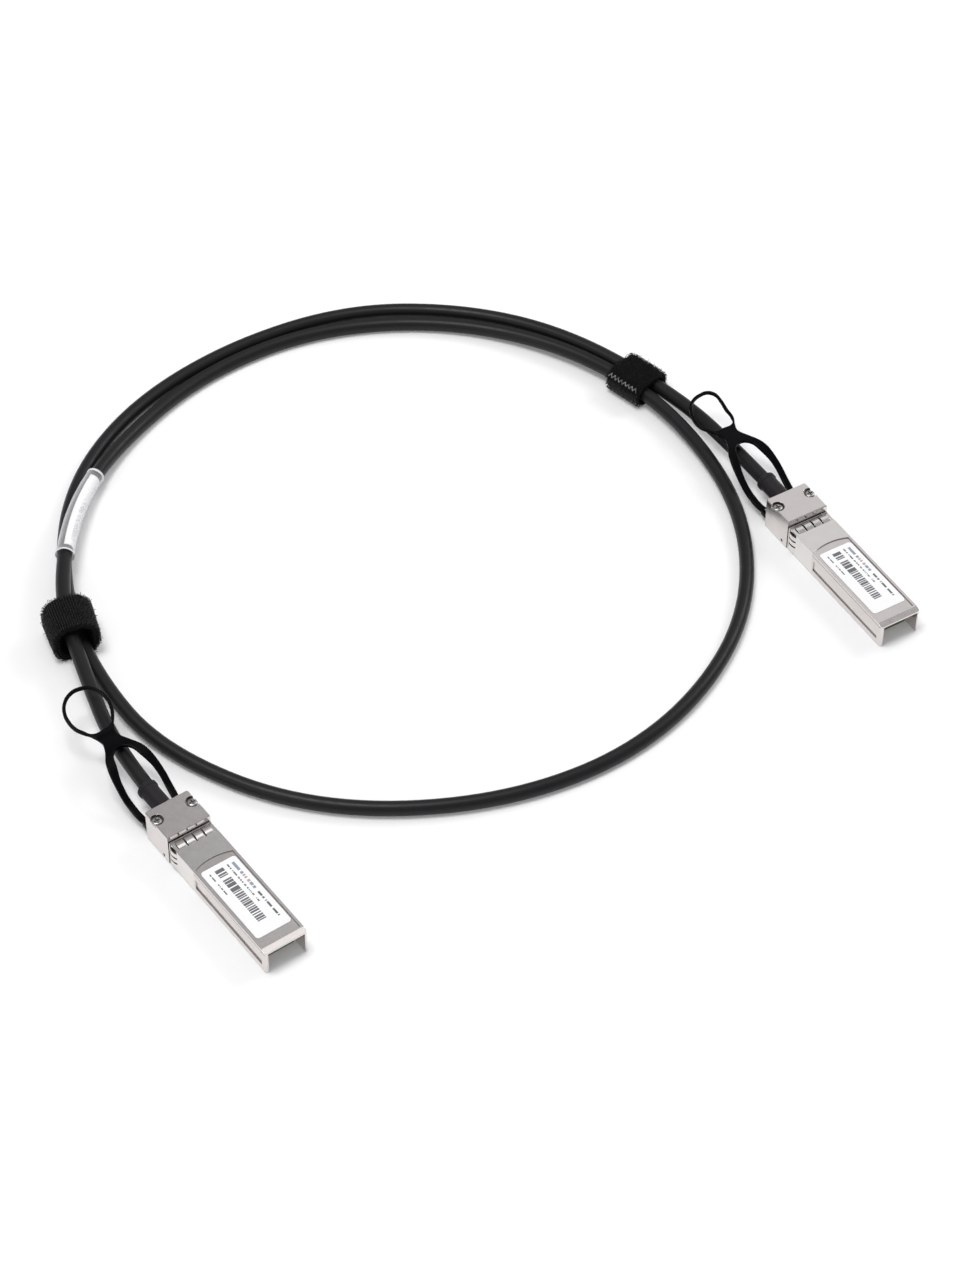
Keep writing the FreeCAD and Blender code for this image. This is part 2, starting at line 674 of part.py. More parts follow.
def latch_slider():
    """The stamped bracket that the pull tab draws back: two side arms and one crossbar."""
    back = -BLOCK_LENGTH - RUNNING_GAP
    sides = (SLIDER_INSIDE, SLIDER_OUTSIDE)
    arms = pair((back - EAR_LENGTH, SLIDER_FRONT), sides, (SLIDER_LOW, SLIDER_HIGH))
    bar = slab((SLIDER_FRONT - CROSSBAR_LENGTH, SLIDER_FRONT), SLIDER_OUTSIDE, (CROSSBAR_LOW, CROSSBAR_HIGH))
    return fused(bar, *arms)


def return_springs():
    """Two coil springs that push the crossbar forward again."""
    front = SLIDER_FRONT - CROSSBAR_LENGTH - SPRING_WIRE / 2
    back = SPRING_BACK + SPRING_WIRE / 2
    height = (CROSSBAR_LOW + CROSSBAR_HIGH) / 2
    middle_radius = (SPRING_DIAMETER - SPRING_WIRE) / 2
    springs = []
    for side in (-1, 1):
        helix = Part.makeHelix((front - back) / SPRING_TURNS, front - back, middle_radius)
        half = SPRING_WIRE / 2
        ring = Part.makePolygon([
            Vector(middle_radius - half, 0, -half),
            Vector(middle_radius + half, 0, -half),
            Vector(middle_radius + half, 0, half),
            Vector(middle_radius - half, 0, half),
            Vector(middle_radius - half, 0, -half),
        ])
        coil = Part.Wire(helix).makePipeShell([ring], True, True)
        coil.Placement = Placement(Vector(back, side * SPRING_AT, height), Rotation(Vector(0, 1, 0), 90))
        springs.append(coil)
    return Part.makeCompound(springs)


def ellipse_face(long, wide, at):
    """An ellipse in plan, its long side along the plug."""
    curve = Part.Ellipse(Vector(at, 0, 0), long / 2, wide / 2)
    return Part.Face(Part.Wire([curve.toShape()]))


def strap_plan():
    """The pull tab seen from above, as a tall prism."""
    back = -BLOCK_LENGTH - RUNNING_GAP / 2
    shoulder = (FORK_AT + 3.0, ARM_BOW - 1.2)
    waist = (WAIST_AT, WAIST_WIDTH / 2)
    ring_join = (RING_AT + RING_LENGTH / 2 - 2.6, RING_WIDTH / 2 - 2.6)
    left = [
        arc(Vector(back, ARM_OUTSIDE, 0), Vector(ARM_BOW_AT, ARM_BOW, 0), Vector(*shoulder, 0)),
        arc(Vector(*shoulder, 0), Vector(FORK_AT - 1.2, 3.8, 0), Vector(*waist, 0)),
        arc(Vector(*waist, 0), Vector(WAIST_AT - 1.9, WAIST_WIDTH / 2 + 0.35, 0), Vector(*ring_join, 0)),
    ]
    flip = [e.mirror(Vector(0, 0, 0), Vector(0, 1, 0)) for e in left]
    ends = [
        line(Vector(back, ARM_OUTSIDE, 0), Vector(back, -ARM_OUTSIDE, 0)),
        line(Vector(*ring_join, 0), Vector(ring_join[0], -ring_join[1], 0)),
    ]
    outline = closed_face(left + flip + ends)
    inner_bow = ARM_BOW - ARM_WIDTH
    inner_end = ARM_OUTSIDE - ARM_WIDTH
    gap_side = [arc(Vector(back, inner_end, 0), Vector(ARM_BOW_AT, inner_bow, 0), Vector(FORK_AT + 5.0, 3.9, 0))]
    gap_side.append(gap_side[0].mirror(Vector(0, 0, 0), Vector(0, 1, 0)))
    gap_end = arc(Vector(FORK_AT + 5.0, 3.9, 0), Vector(FORK_AT, 0, 0), Vector(FORK_AT + 5.0, -3.9, 0))
    gap_start = line(Vector(back, inner_end, 0), Vector(back, -inner_end, 0))
    gap = closed_face(gap_side + [gap_end, gap_start])
    tall = Vector(0, 0, 2 * BLOCK_HEIGHT)
    body = outline.extrude(tall).fuse(ellipse_face(RING_LENGTH, RING_WIDTH, RING_AT).extrude(tall))
    hole = ellipse_face(RING_LENGTH - 2 * RING_WALL, RING_WIDTH - 2 * RING_WALL, RING_AT)
    return body.cut([gap.extrude(tall), hole.extrude(tall)])


def strap_sheet(pitch):
    """The ribbon that the strap is cut from: up from the block, over a crest, down to the waist, the ring up."""
    back = -BLOCK_LENGTH - RUNNING_GAP / 2
    far = RING_AT - RING_LENGTH / 2 - 1.0
    ring_front = WAIST_AT - 1.5
    tip = HUB_HEIGHT + (ring_front - far) * math.tan(math.radians(pitch))
    side = HALF_BLOCK + 3.0
    climb = STRAP_CREST - STRAP_END_HEIGHT
    rise = [(back, STRAP_END_HEIGHT), (back - 5.0, STRAP_END_HEIGHT + 0.02 * climb)]
    rise += [(back - 9.3, STRAP_END_HEIGHT + 0.2 * climb), (back - 14.5, STRAP_END_HEIGHT + 0.6 * climb)]
    rise += [(back - 19.3, STRAP_CREST - 0.1 * climb), (FORK_AT, STRAP_CREST)]
    rise += [((FORK_AT + ring_front) / 2, (STRAP_CREST + HUB_HEIGHT) / 2 + 0.15), (ring_front, HUB_HEIGHT)]
    edges = []
    for offset in (-STRAP_THICK / 2, STRAP_THICK / 2):
        curve = Part.BSplineCurve()
        curve.interpolate([Vector(x, -side, z + offset) for x, z in rise])
        edges.append(curve.toShape())
        edges.append(line(Vector(ring_front, -side, HUB_HEIGHT + offset), Vector(far, -side, tip + offset)))
    for x, z in ((back, STRAP_END_HEIGHT), (far, tip)):
        edges.append(line(Vector(x, -side, z - STRAP_THICK / 2), Vector(x, -side, z + STRAP_THICK / 2)))
    return closed_face(edges).extrude(Vector(0, 2 * side, 0))


def pull_tab(pitch):
    """The soft pull strap, moulded on the ends of the slider's two arms."""
    strap = strap_plan().common(strap_sheet(pitch))
    long, wide, tall = STRAP_END_PAD
    back = -BLOCK_LENGTH - RUNNING_GAP / 2
    middle = SLIDER_OUTSIDE - SLIDER_THICK / 2
    low = STRAP_END_HEIGHT - tall / 2
    pads = pair((back - long, back), (middle - wide / 2, middle + wide / 2), (low, low + tall))
    return fused(strap, *pads).cut(latch_slider())


def plug_label():
    """The paper label in the lid's pocket."""
    x = (COLLAR_FRONT + LABEL_BACK_GAP, NOSE_LENGTH - LIP_LENGTH - LABEL_FRONT_GAP)
    sheet = slab(x, LABEL_WIDTH / 2, (POCKET_FLOOR, POCKET_FLOOR + LABEL_THICK))
    upright = [e for e in sheet.Edges if e.BoundBox.ZLength > LABEL_THICK / 2]
    return sheet.makeFillet(LABEL_CORNER, upright)


def plug_solids(tag):
    """Each piece of one plug, in the plug's own frame."""
    return {
        "base_housing": base_housing(),
        "top_cover": top_cover(),
        "emi_collar": emi_collar(),
        "paddle_card": paddle_card(),
        "edge_contacts": edge_contacts(),
        "memory_chip": memory_chip(),
        "blocking_capacitors": blocking_capacitors(),
        "conductor_pairs": conductor_pairs(),
        "crimp_ferrule": crimp_ferrule(),
        "cable_boot": cable_boot(),
        "cover_screws": cover_screws(),
        "latch_rocker": latch_rocker(),
        "pivot_pin": pivot_pin(),
        "latch_slider": latch_slider(),
        "return_springs": return_springs(),
        "pull_tab": pull_tab(RING_PITCH[tag]),
        "plug_label": plug_label(),
    }


def plug_place(where):
    """From a plug's own frame to the frame of the whole cable."""
    x, y, heading = where
    return Placement(Vector(x, y, 0), Rotation(Vector(0, 0, 1), heading))


def cable_points():
    """The whole route: the jacket's end in plug A, the loop, the jacket's end in plug B."""
    ends = []
    for where in (PLUG_A, PLUG_B):
        place = plug_place(where)
        ends.append([place.multVec(Vector(JACKET_END - run, 0, CABLE_HEIGHT)) for run in (0, FIRST_RUN)])
    return ends[0] + [Vector(*p) for p in ROUTE] + ends[1][::-1]


def cable_jacket():
    """The cable as one round solid; prints its length, its smallest radius and its volume's error."""
    edges, radii = tube_path(cable_points())
    length = sum(e.Length for e in edges)
    solid = tube(edges, CABLE_RADIUS)
    exact = math.pi * CABLE_RADIUS**2 * length
    print("cable length %.1f, radii" % length, [round(r) for r in radii])
    print("cable volume against section times length: %.5f" % (solid.Volume / exact))
    return solid


def marker_edges(trim):
    """The stretch of the route under the marker sleeve: half a run each side of one point."""
    edges = tube_path(cable_points())[0]
    marked = cable_points().index(Vector(*MARKER_AT))
    before, corner, after = edges[2 * marked - 2 : 2 * marked + 1]
    last, here, following = cable_points()[marked - 1 : marked + 2]
    start, end = (last + here) * 0.5, (here + following) * 0.5
    arc_start, arc_end = before.valueAt(before.LastParameter), after.valueAt(after.FirstParameter)
    start = start + (arc_start - start).normalize() * trim
    end = end + (arc_end - end).normalize() * trim
    return [line(start, arc_start), corner, line(arc_end, end)]


def marker(inside, wall, trim):
    """A thin tube round the cable along the marked stretch."""
    return tube(marker_edges(trim), inside + wall).cut(tube(marker_edges(trim - 1.0), inside))


def rounded_frame(width, height, low, corners):
    """A rectangle in the yz plane with its bottom and top corners rounded apart."""
    half, high = width / 2, low + height
    bottom, top = corners
    diagonal = 1 - math.sqrt(0.5)
    edges = []
    for side in (-1, 1):
        y = side * half
        edges.append(arc(
            Vector(0, y - side * bottom, low),
            Vector(0, y - side * bottom * diagonal, low + bottom * diagonal),
            Vector(0, y, low + bottom),
        ))
        edges.append(line(Vector(0, y, low + bottom), Vector(0, y, high - top)))
        edges.append(arc(
            Vector(0, y, high - top),
            Vector(0, y - side * top * diagonal, high - top * diagonal),
            Vector(0, y - side * top, high),
        ))
    for z, round_off in ((low, bottom), (high, top)):
        edges.append(line(Vector(0, round_off - half, z), Vector(0, half - round_off, z)))
    return closed_face(edges)


def tie(at, turn, inside, corners):
    """A hook-and-loop strap round two strands: a closed loop, and its tail lapped over one side."""
    width, height = inside
    full = Vector(TIE_WIDTH, 0, 0)
    wraps = []
    for grow in (0, TIE_THICK, TIE_THICK + TIE_TAIL):
        frame = rounded_frame(
            width + 2 * grow, height + 2 * grow, TIE_THICK - grow, [c + grow for c in corners]
        )
        wraps.append(frame.extrude(full))
    hole, loop, lap = wraps
    reach = width + height
    tail = lap.cut(loop).common(box((0, TIE_WIDTH), (-width / 4, reach), (TIE_THICK, 2 * reach)))
    strap = fused(loop.cut(hole), tail)
    strap.translate(Vector(-TIE_WIDTH / 2, 0, 0))
    strap.Placement = Placement(Vector(at[0], at[1], 0), Rotation(Vector(0, 0, 1), turn)).multiply(strap.Placement)
    return strap


def cable_solids():
    """The cable and what is on it, in the frame of the whole cable."""
    paper_inside = CABLE_RADIUS + FIT
    sleeve_inside = paper_inside + PAPER_WALL + FIT
    return {
        "cable_jacket": cable_jacket(),
        "marker_paper": marker(paper_inside, PAPER_WALL, SLEEVE_END_GAP),
        "marker_sleeve": marker(sleeve_inside, SLEEVE_WALL, 0.0),
        "tie_left": tie(TIE_LEFT_AT, TIE_LEFT_TURN, TIE_LEFT_INSIDE, TIE_LEFT_CORNERS),
        "tie_right": tie(TIE_RIGHT_AT, TIE_RIGHT_TURN, TIE_RIGHT_INSIDE, TIE_RIGHT_CORNERS),
    }


def main():
    os.makedirs("parts", exist_ok=True)
    solids = cable_solids()
    for tag, where in (("a", PLUG_A), ("b", PLUG_B)):
        place = plug_place(where)
        for name, shape in plug_solids(tag).items():
            shape.Placement = place.multiply(shape.Placement)
            solids["%s_%s" % (name, tag)] = shape
    for name, shape in solids.items():
        if not shape.isValid():
            print("not valid:", name)
        print("%-24s solids %d volume %.2f" % (name, len(shape.Solids), shape.Volume))
        shape.exportStep("parts/%s.step" % name)


main()
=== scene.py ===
# %% [markdown]
# # A direct attach copper cable
# Two metal plugs are joined for good by one stiff black cable, and the cable lies in a loop held by two
# hook-and-loop straps. The rigid parts come from CAD and stay as they are. This lesson gives them their
# finishes, and makes the parts that CAD leaves plain: the cable, the fabric straps and the marker sleeve.

import math

import bmesh
import bpy
from mathutils import Euler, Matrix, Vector, noise


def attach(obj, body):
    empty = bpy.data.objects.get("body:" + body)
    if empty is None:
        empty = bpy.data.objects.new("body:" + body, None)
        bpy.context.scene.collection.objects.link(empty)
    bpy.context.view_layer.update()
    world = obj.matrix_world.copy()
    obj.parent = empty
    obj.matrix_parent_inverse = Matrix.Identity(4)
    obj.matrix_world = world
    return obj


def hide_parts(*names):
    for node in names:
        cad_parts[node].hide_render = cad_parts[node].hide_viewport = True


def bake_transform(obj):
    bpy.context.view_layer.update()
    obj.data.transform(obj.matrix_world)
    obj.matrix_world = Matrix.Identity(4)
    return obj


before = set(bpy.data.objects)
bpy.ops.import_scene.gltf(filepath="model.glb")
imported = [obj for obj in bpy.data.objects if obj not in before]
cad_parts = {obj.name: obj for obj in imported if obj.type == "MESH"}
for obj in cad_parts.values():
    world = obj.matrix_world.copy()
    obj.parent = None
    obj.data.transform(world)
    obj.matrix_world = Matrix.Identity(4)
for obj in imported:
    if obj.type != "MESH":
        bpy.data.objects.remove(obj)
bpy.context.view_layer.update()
MM = 0.001


def added(name, data):
    """A new object in the scene, at the origin, unturned."""
    shape = bpy.data.objects.new(name, data)
    bpy.context.scene.collection.objects.link(shape)
    return shape


def drawn_mesh(drawing):
    """The mesh that a curve drawing makes; the drawing's own object is taken away again."""
    shape = added(drawing.name, drawing)
    bpy.context.view_layer.update()
    mesh = bpy.data.meshes.new_from_object(shape)
    bpy.data.objects.remove(shape)
    return mesh


# %% [markdown]
# ## Where things are
# Each plug is drawn from the middle of its stop line: x runs out of the nose, y to the left, z up. The
# two plugs lie at different places and headings, so one small record of both serves every later step.

# %% The plugs' own frames
PLUGS = {"a": ((0.0, 0.0), -90.0), "b": ((214.06, -5.47), -94.98)}


def from_plug(tag, x, y, z):
    """A point in a plug's own millimetres, as metres in the whole object's frame."""
    (px, py), heading = PLUGS[tag]
    turn = math.radians(heading)
    along, across = math.cos(turn), math.sin(turn)
    return Vector((px + along * x - across * y, py + across * x + along * y, z)) * MM


for tag in PLUGS:
    print("plug", tag, "nose tip at", [round(v, 4) for v in from_plug(tag, 47.5, 0, 4.25)])

# %% [markdown]
# ## Camera, floor and light
# The coil is small, so a long lens from about a metre away keeps the plugs' edges nearly parallel. A wide
# soft lamp overhead and an even pale surround give faint shadows. Where the floor is looked at, straight, in a
# reflection or through the film, it glows a little, and more so far out, where it meets a surround that is
# white to the camera. The light that it scatters on the object stays that of plain pale paper.

# %% Camera
camera_data = bpy.data.cameras.new("camera")
camera_data.lens = 100.73
camera_data.sensor_width = 36.0
camera = added("camera", camera_data)
camera.location = (-0.30913, -0.55994, 0.75357)
camera.rotation_euler = Euler((math.radians(43.49), 0, math.radians(-36.03)))
bpy.context.scene.camera = camera
bpy.context.scene.view_settings.view_transform = "Standard"
print("camera at", [round(v, 3) for v in camera.location])

# %% [markdown]
# ## A short way to write materials
# Every finish below is a small graph of nodes. Two functions add a node to any graph and join its sockets, and
# serve the trees that grow fibres too. The helper keeps each finish to the few lines that say what it is.


# %% Material helper
def join(tree, value, socket):
    """Joins another node's output to a socket, or sets a plain value; None leaves it as it is."""
    if isinstance(value, bpy.types.NodeSocket):
        tree.links.new(value, socket)
    elif value is not None:
        socket.default_value = value


def add_node(tree, kind, inputs, **settings):
    """Adds a node with its settings, fills inputs by name or number, and gives its outputs."""
    made = tree.nodes.new(kind)
    for key, value in settings.items():
        setattr(made, key, value)
    for socket, value in inputs.items():
        join(tree, value, made.inputs[socket])
    return made.outputs


class Finish:
    """One node material, with a Principled shader ready to use."""

    def __init__(self, name, colour, roughness, metallic=0.0):
        self.material = bpy.data.materials.new(name)
        self.material.use_nodes = True
        self.tree = self.material.node_tree
        self.shader = self.tree.nodes["Principled BSDF"]
        self.set("Base Color", (*colour, 1.0))
        self.set("Roughness", roughness)
        self.set("Metallic", metallic)

    def set(self, socket, value):
        """Sets one of the shader's sockets to a plain value or another node's output."""
        join(self.tree, value, self.shader.inputs[socket])

    def add(self, kind, inputs, **settings):
        return add_node(self.tree, kind, inputs, **settings)

    def sum(self, operation, a, b=None):
        return self.add("ShaderNodeMath", {0: a, 1: b}, operation=operation)[0]

    def product(self, first, *others):
        """Several values multiplied, which for patterns of 0 and 1 leaves where they overlap."""
        for value in others:
            first = self.sum("MULTIPLY", first, value)
        return first

    def place(self, tag=None):
        """Object coordinates in millimetres, in a plug's own frame if one is named."""
        (px, py), heading = PLUGS[tag] if tag else ((0, 0), 0)
        inputs = {"Vector": self.add("ShaderNodeTexCoord", {})["Object"], "Scale": (MM, MM, MM)}
        inputs |= {"Location": (px * MM, py * MM, 0), "Rotation": (0, 0, math.radians(heading))}
        return self.add("ShaderNodeMapping", inputs, vector_type="TEXTURE")[0]

    def axes(self, point):
        """The x, y and z of a point."""
        return self.add("ShaderNodeSeparateXYZ", {0: point})[:]

    def unrolled(self):
        """The share along and the share across a strip or tube, from its own UV map."""
        return self.axes(self.add("ShaderNodeUVMap", {}, uv_map="UVMap")[0])[:2]

    def noise(self, point, scale, detail=3.0, roughness=0.55):
        inputs = {"Vector": point, "Scale": scale, "Detail": detail, "Roughness": roughness}
        return self.add("ShaderNodeTexNoise", inputs)["Fac"]

    def remap(self, value, low, high, to_low, to_high):
        inputs = dict(enumerate((value, low, high, to_low, to_high)))
        return self.add("ShaderNodeMapRange", inputs)[0]

    def spread(self, noise, low, high):
        """A noise, which mostly stays between 0.3 and 0.7, spread over two limits."""
        return self.remap(noise, 0.3, 0.7, low, high)

    def blend(self, share, first, second):
        """Mixes two colours by a share from 0 to 1."""
        first, second = ((*v, 1.0) if isinstance(v, tuple) else v for v in (first, second))
        return self.add("ShaderNodeMix", {0: share, 6: first, 7: second}, data_type="RGBA")[2]

    def tone(self, share, first, second):
        """Mixes two colours into the shader's base colour."""
        self.set("Base Color", self.blend(share, first, second))

    def roughen(self, noise, low, high):
        """Spreads a noise over two limits of roughness."""
        self.set("Roughness", self.spread(noise, low, high))

    def bump(self, height, strength, depth_mm, edge_mm=0.0):
        """Relief from a height pattern, on edges rounded by edge_mm."""
        inputs = {"Strength": strength, "Distance": depth_mm * MM, "Height": height}
        if edge_mm:
            inputs["Normal"] = self.add("ShaderNodeBevel", {"Radius": edge_mm * MM}, samples=12)[0]
        self.set("Normal", self.add("ShaderNodeBump", inputs)[0])

    def crevice_shade(self, reach_mm):
        """A mask for painted shade: 0 deep in a corner or gap, 1 on open faces."""
        light = self.add("ShaderNodeAmbientOcclusion", {"Distance": reach_mm * MM}, samples=8)["AO"]
        return self.remap(light, 0.1, 0.7, 0.0, 1.0)

    def within(self, value, low, high):
        """1 where a value lies between two limits."""
        return self.product(self.sum("GREATER_THAN", value, low), self.sum("LESS_THAN", value, high))


def dress(node, finish):
    """Gives a CAD node's object one material."""
    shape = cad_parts[node]
    shape.data.materials.clear()
    shape.data.materials.append(finish.material)


print("helper ready")

# %% Floor, surround and lamps
FLOOR_REACH = 3.0
FLOOR_TONE = (0.82, 0.82, 0.83)
GLOW_FROM, GLOW_TO = 0.25e6, 3e6  # squared distances from the origin, in square millimetres
floor_mesh = bpy.data.meshes.new("floor")
corners = [(x * FLOOR_REACH, y * FLOOR_REACH, 0) for x, y in ((-1, -1), (1, -1), (1, 1), (-1, 1))]
floor_mesh.from_pydata(corners, [], [(0, 1, 2, 3)])
floor = added("floor", floor_mesh)

paper_floor = Finish("floor_paper", FLOOR_TONE, 0.9)
paper_floor.set("Specular IOR Level", 0.0)
seen = paper_floor.add("ShaderNodeLightPath", {})
direct = paper_floor.sum("MAXIMUM", seen["Is Camera Ray"], seen["Is Glossy Ray"])
direct = paper_floor.sum("MAXIMUM", direct, seen["Is Transmission Ray"])
paper_floor.tone(direct, FLOOR_TONE, (0.90, 0.90, 0.90))
paper_floor.set("Emission Color", (1.0, 1.0, 1.0, 1.0))
squares = [paper_floor.product(value, value) for value in paper_floor.axes(paper_floor.place())[:2]]
glow = paper_floor.remap(paper_floor.sum("ADD", *squares), GLOW_FROM, GLOW_TO, 0.11, 0.8)
paper_floor.set("Emission Strength", paper_floor.product(direct, glow))
floor_mesh.materials.append(paper_floor.material)

world = bpy.data.worlds.new("surround")
bpy.context.scene.world = world
world.use_nodes = True
sky = world.node_tree.nodes["Background"]
sky.inputs["Color"].default_value = (0.97, 0.97, 1.0, 1.0)
sky.inputs["Strength"].default_value = 0.40
white = add_node(world.node_tree, "ShaderNodeBackground", {"Color": (1.0, 1.0, 1.0, 1.0)})
to_camera = add_node(world.node_tree, "ShaderNodeLightPath", {})["Is Camera Ray"]
either = add_node(world.node_tree, "ShaderNodeMixShader", {0: to_camera, 1: sky.outputs[0], 2: white[0]})
join(world.node_tree, either[0], world.node_tree.nodes["World Output"].inputs["Surface"])

LAMPS_LOOK_AT = Vector((0.1, 0.06, 0))
LAMPS = [
    # (name, place in metres, side in metres, watts)
    ("overhead", (-0.17, 0.12, 1.3), 0.5, 8.8),
    ("right", (1.3, 0.0, 0.9), 0.6, 5.5),
    ("left", (-1.0, -0.1, 0.6), 0.5, 1.2),
    ("panel_over_lips", (0.42, 0.26, 1.25), 0.5, 0.65),
    ("panel_behind", (1.08, 0.89, 1.25), 0.8, 0.8),
]
for name, place, side, watts in LAMPS:
    data = bpy.data.lights.new(name, "AREA")
    data.size, data.energy = side, watts
    lamp = added(name, data)
    lamp.location = place
    lamp.rotation_euler = (LAMPS_LOOK_AT - Vector(place)).to_track_quat("-Z", "Y").to_euler()
print("floor, surround and", len(LAMPS), "lamps")

# %% [markdown]
# ## The cable
# Twinaxial cable is stiff, so it lies in wide, even curves. It is drawn as a smooth curve through a short
# list of guide points, the same ones as in CAD, with a round section. A quadratic curve (order 3) touches
# every run between two points at its middle, which is close to how the real cable bends.

# %% The cable's line
CABLE = 4.4 * MM
ENDS = {tag: [from_plug(tag, x, 0, 6.4) for x in (-4.15, -37.15)] for tag in PLUGS}
ROUTE = [
    (8.6, 68.0, 7.0), (17.4, 96.5, 9.2), (40.4, 127.2, 7.0), (68.5, 147.6, 2.5), (107.6, 159.8, 2.2),
    (148.7, 156.2, 2.2), (185.6, 133.4, 2.2), (208.3, 96.2, 4.2), (214.2, 53.5, 3.9), (204.0, 9.0, 2.2),
    (173.2, -27.0, 2.2), (126.0, -45.0, 2.2), (78.0, -38.0, 2.2), (34.0, -9.0, 2.2), (12.0, 34.0, 2.2),
    (12.0, 70.0, 4.4), (22.5, 104.0, 3.5), (45.3, 138.4, 2.2), (78.0, 158.6, 2.2), (118.6, 165.0, 2.2),
    (160.4, 158.0, 2.2), (191.8, 135.1, 2.2), (210.2, 103.8, 3.9), (218.9, 62.5, 4.3),
]
guides = ENDS["a"] + [Vector(p) * MM for p in ROUTE] + ENDS["b"][::-1]


def smooth_line(name, points):
    """A curve object whose one spline is guided by the points."""
    curve = bpy.data.curves.new(name, "CURVE")
    curve.dimensions = "3D"
    spline = curve.splines.new("NURBS")
    spline.points.add(len(points) - 1)
    for place, point in zip(spline.points, points):
        place.co = (*point, 1.0)
    spline.order_u = 3
    spline.use_endpoint_u = True
    spline.resolution_u = 12
    return added(name, curve)


def line_points(shape):
    """The points that a curve with no thickness runs through, in order."""
    bpy.context.view_layer.update()
    mesh = bpy.data.meshes.new_from_object(shape)
    found = [v.co.copy() for v in mesh.vertices]
    bpy.data.meshes.remove(mesh)
    return found


cable = smooth_line("cable", guides)
cable_line = line_points(cable)
cable.data.bevel_depth = CABLE / 2
cable.data.bevel_resolution = 6
cable_length = sum((b - a).length for a, b in zip(cable_line, cable_line[1:]))
print("cable: %d guide points, %.3f m long" % (len(guides), cable_length))

# %% [markdown]
# The jacket is matte black vinyl with a faint grain from the extruder. Large soft noise varies its tone, as
# handling does, and finer ones vary its sheen and break up the highlight that runs along it.

# %% Cable jacket finish
jacket = Finish("black_vinyl_jacket", (0.012, 0.011, 0.012), 0.5)
jacket.set("Specular IOR Level", 0.26)
spot = jacket.place()
handled = jacket.noise(spot, 0.05, 2.0)
jacket.tone(handled, (0.007, 0.0065, 0.0075), (0.011, 0.0105, 0.0115))
jacket.roughen(jacket.noise(spot, 0.4), 0.36, 0.46)
jacket.bump(jacket.noise(spot, 5.0, 4.0), 0.25, 0.06)
cable.data.materials.append(jacket.material)
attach(cable, "coil")
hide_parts("cable_jacket")
print("jacket done")

# %% [markdown]
# ## Nickel-plated die castings
# The shell is cast zinc with satin nickel plate. It is metallic and slightly warm, its skin is a little
# uneven from the mould, and its edges catch the light, because nothing cast is truly sharp. The bevel node
# rounds the normals near an edge, so the CAD mesh itself stays as it is. Gaps and inside corners are darkened,
# since little light gets in, and less so on the lower half, whose grooves are wide and shallow.


# %% Satin nickel
def nickel(name, tag, colour, roughness, grain, depth=0.12):
    finish = Finish(name, colour, roughness, 1.0)
    spot = finish.place(tag)
    cloudy = finish.noise(spot, 0.22, 3.0)
    plain_tone = finish.blend(finish.spread(cloudy, 0, 1), tuple(0.95 * c for c in colour), colour)
    # Painted shade: gaps and inside corners are darkened towards depth times the colour, where little light
    # gets in.
    finish.tone(finish.crevice_shade(1.2), tuple(depth * c for c in colour), plain_tone)
    finish.roughen(finish.noise(spot, 0.9), roughness - 0.02, roughness + 0.03)
    finish.bump(finish.noise(spot, 2.0, 2.0), grain, 0.02, 0.06)
    return finish


CAST, SHEET = (0.74, 0.70, 0.68), (0.80, 0.77, 0.75)
for tag in PLUGS:
    dress("base_housing_" + tag, nickel("cast_nickel_low_" + tag, tag, CAST, 0.20, 0.03, depth=0.45))
    dress("top_cover_" + tag, nickel("cast_nickel_" + tag, tag, CAST, 0.20, 0.03))
    dress("emi_collar_" + tag, nickel("sheet_nickel_" + tag, tag, SHEET, 0.17, 0.02))
print("shells dressed")

# %% [markdown]
# ## Small steel parts
# The screws, the rocker, the slider, the pin and the springs are plated steel. They are rolled or turned, so
# their grain is drawn out in one direction, which a stretched noise gives.


# %% Rolled steel
def steel(name, tag, colour, roughness, stretch):
    finish = Finish(name, colour, roughness, 1.0)
    stretched = finish.add("ShaderNodeMapping", {"Vector": finish.place(tag), "Scale": stretch})
    lines = finish.noise(stretched[0], 1.0, 4.0)
    plain_tone = finish.blend(lines, tuple(0.75 * c for c in colour), colour)
    # Painted shade: gaps and corners are darkened towards 0.15 of the colour, where little light gets in.
    finish.tone(finish.crevice_shade(0.6), tuple(0.15 * c for c in colour), plain_tone)
    finish.roughen(lines, roughness - 0.08, roughness + 0.08)
    finish.bump(lines, 0.25, 0.02, 0.06)
    return finish


WIRE_TONE, WIRE_GRAIN = (0.50, 0.49, 0.48), (9.0, 9.0, 1.0)
for tag in PLUGS:
    rolled = steel("rolled_steel_" + tag, tag, (0.60, 0.58, 0.56), 0.33, (0.6, 14.0, 14.0))
    machined = steel("turned_steel_" + tag, tag, WIRE_TONE, 0.3, WIRE_GRAIN)
    for node in ("latch_rocker_", "latch_slider_"):
        dress(node + tag, rolled)
    for node in ("cover_screws_", "pivot_pin_"):
        dress(node + tag, machined)
print("steel parts dressed")

# %% [markdown]
# Two compression springs push the slider forward again. A spring's back end stays in the housing and its front
# end goes with the slider's crossbar, so the wire has to close up between them. Each pair is one piece, two
# wound wires with flat turns at both ends.

# %% Return springs
SPRING_ENDS = (-10.15, -5.16)
SPRING_RADIUS, WIRE_RADIUS, SPRING_SIDE, SPRING_HEIGHT = 0.51, 0.14, 3.9, 2.35
WINDINGS, STEPS, FLAT_TURN, FLAT_RISE = 7, 20, 0.8, 0.15


def wire(name, lines, radius, rounding):
    """A drawing of wires with a round section: each line is a list of points, in metres."""
    drawing = bpy.data.curves.new(name, "CURVE")
    drawing.dimensions, drawing.use_fill_caps = "3D", True
    drawing.bevel_depth, drawing.bevel_resolution = radius * MM, rounding
    for points in lines:
        line = drawing.splines.new("POLY")
        line.points.add(len(points) - 1)
        for place, point in zip(line.points, points):
            place.co = (*point, 1)
    return drawing


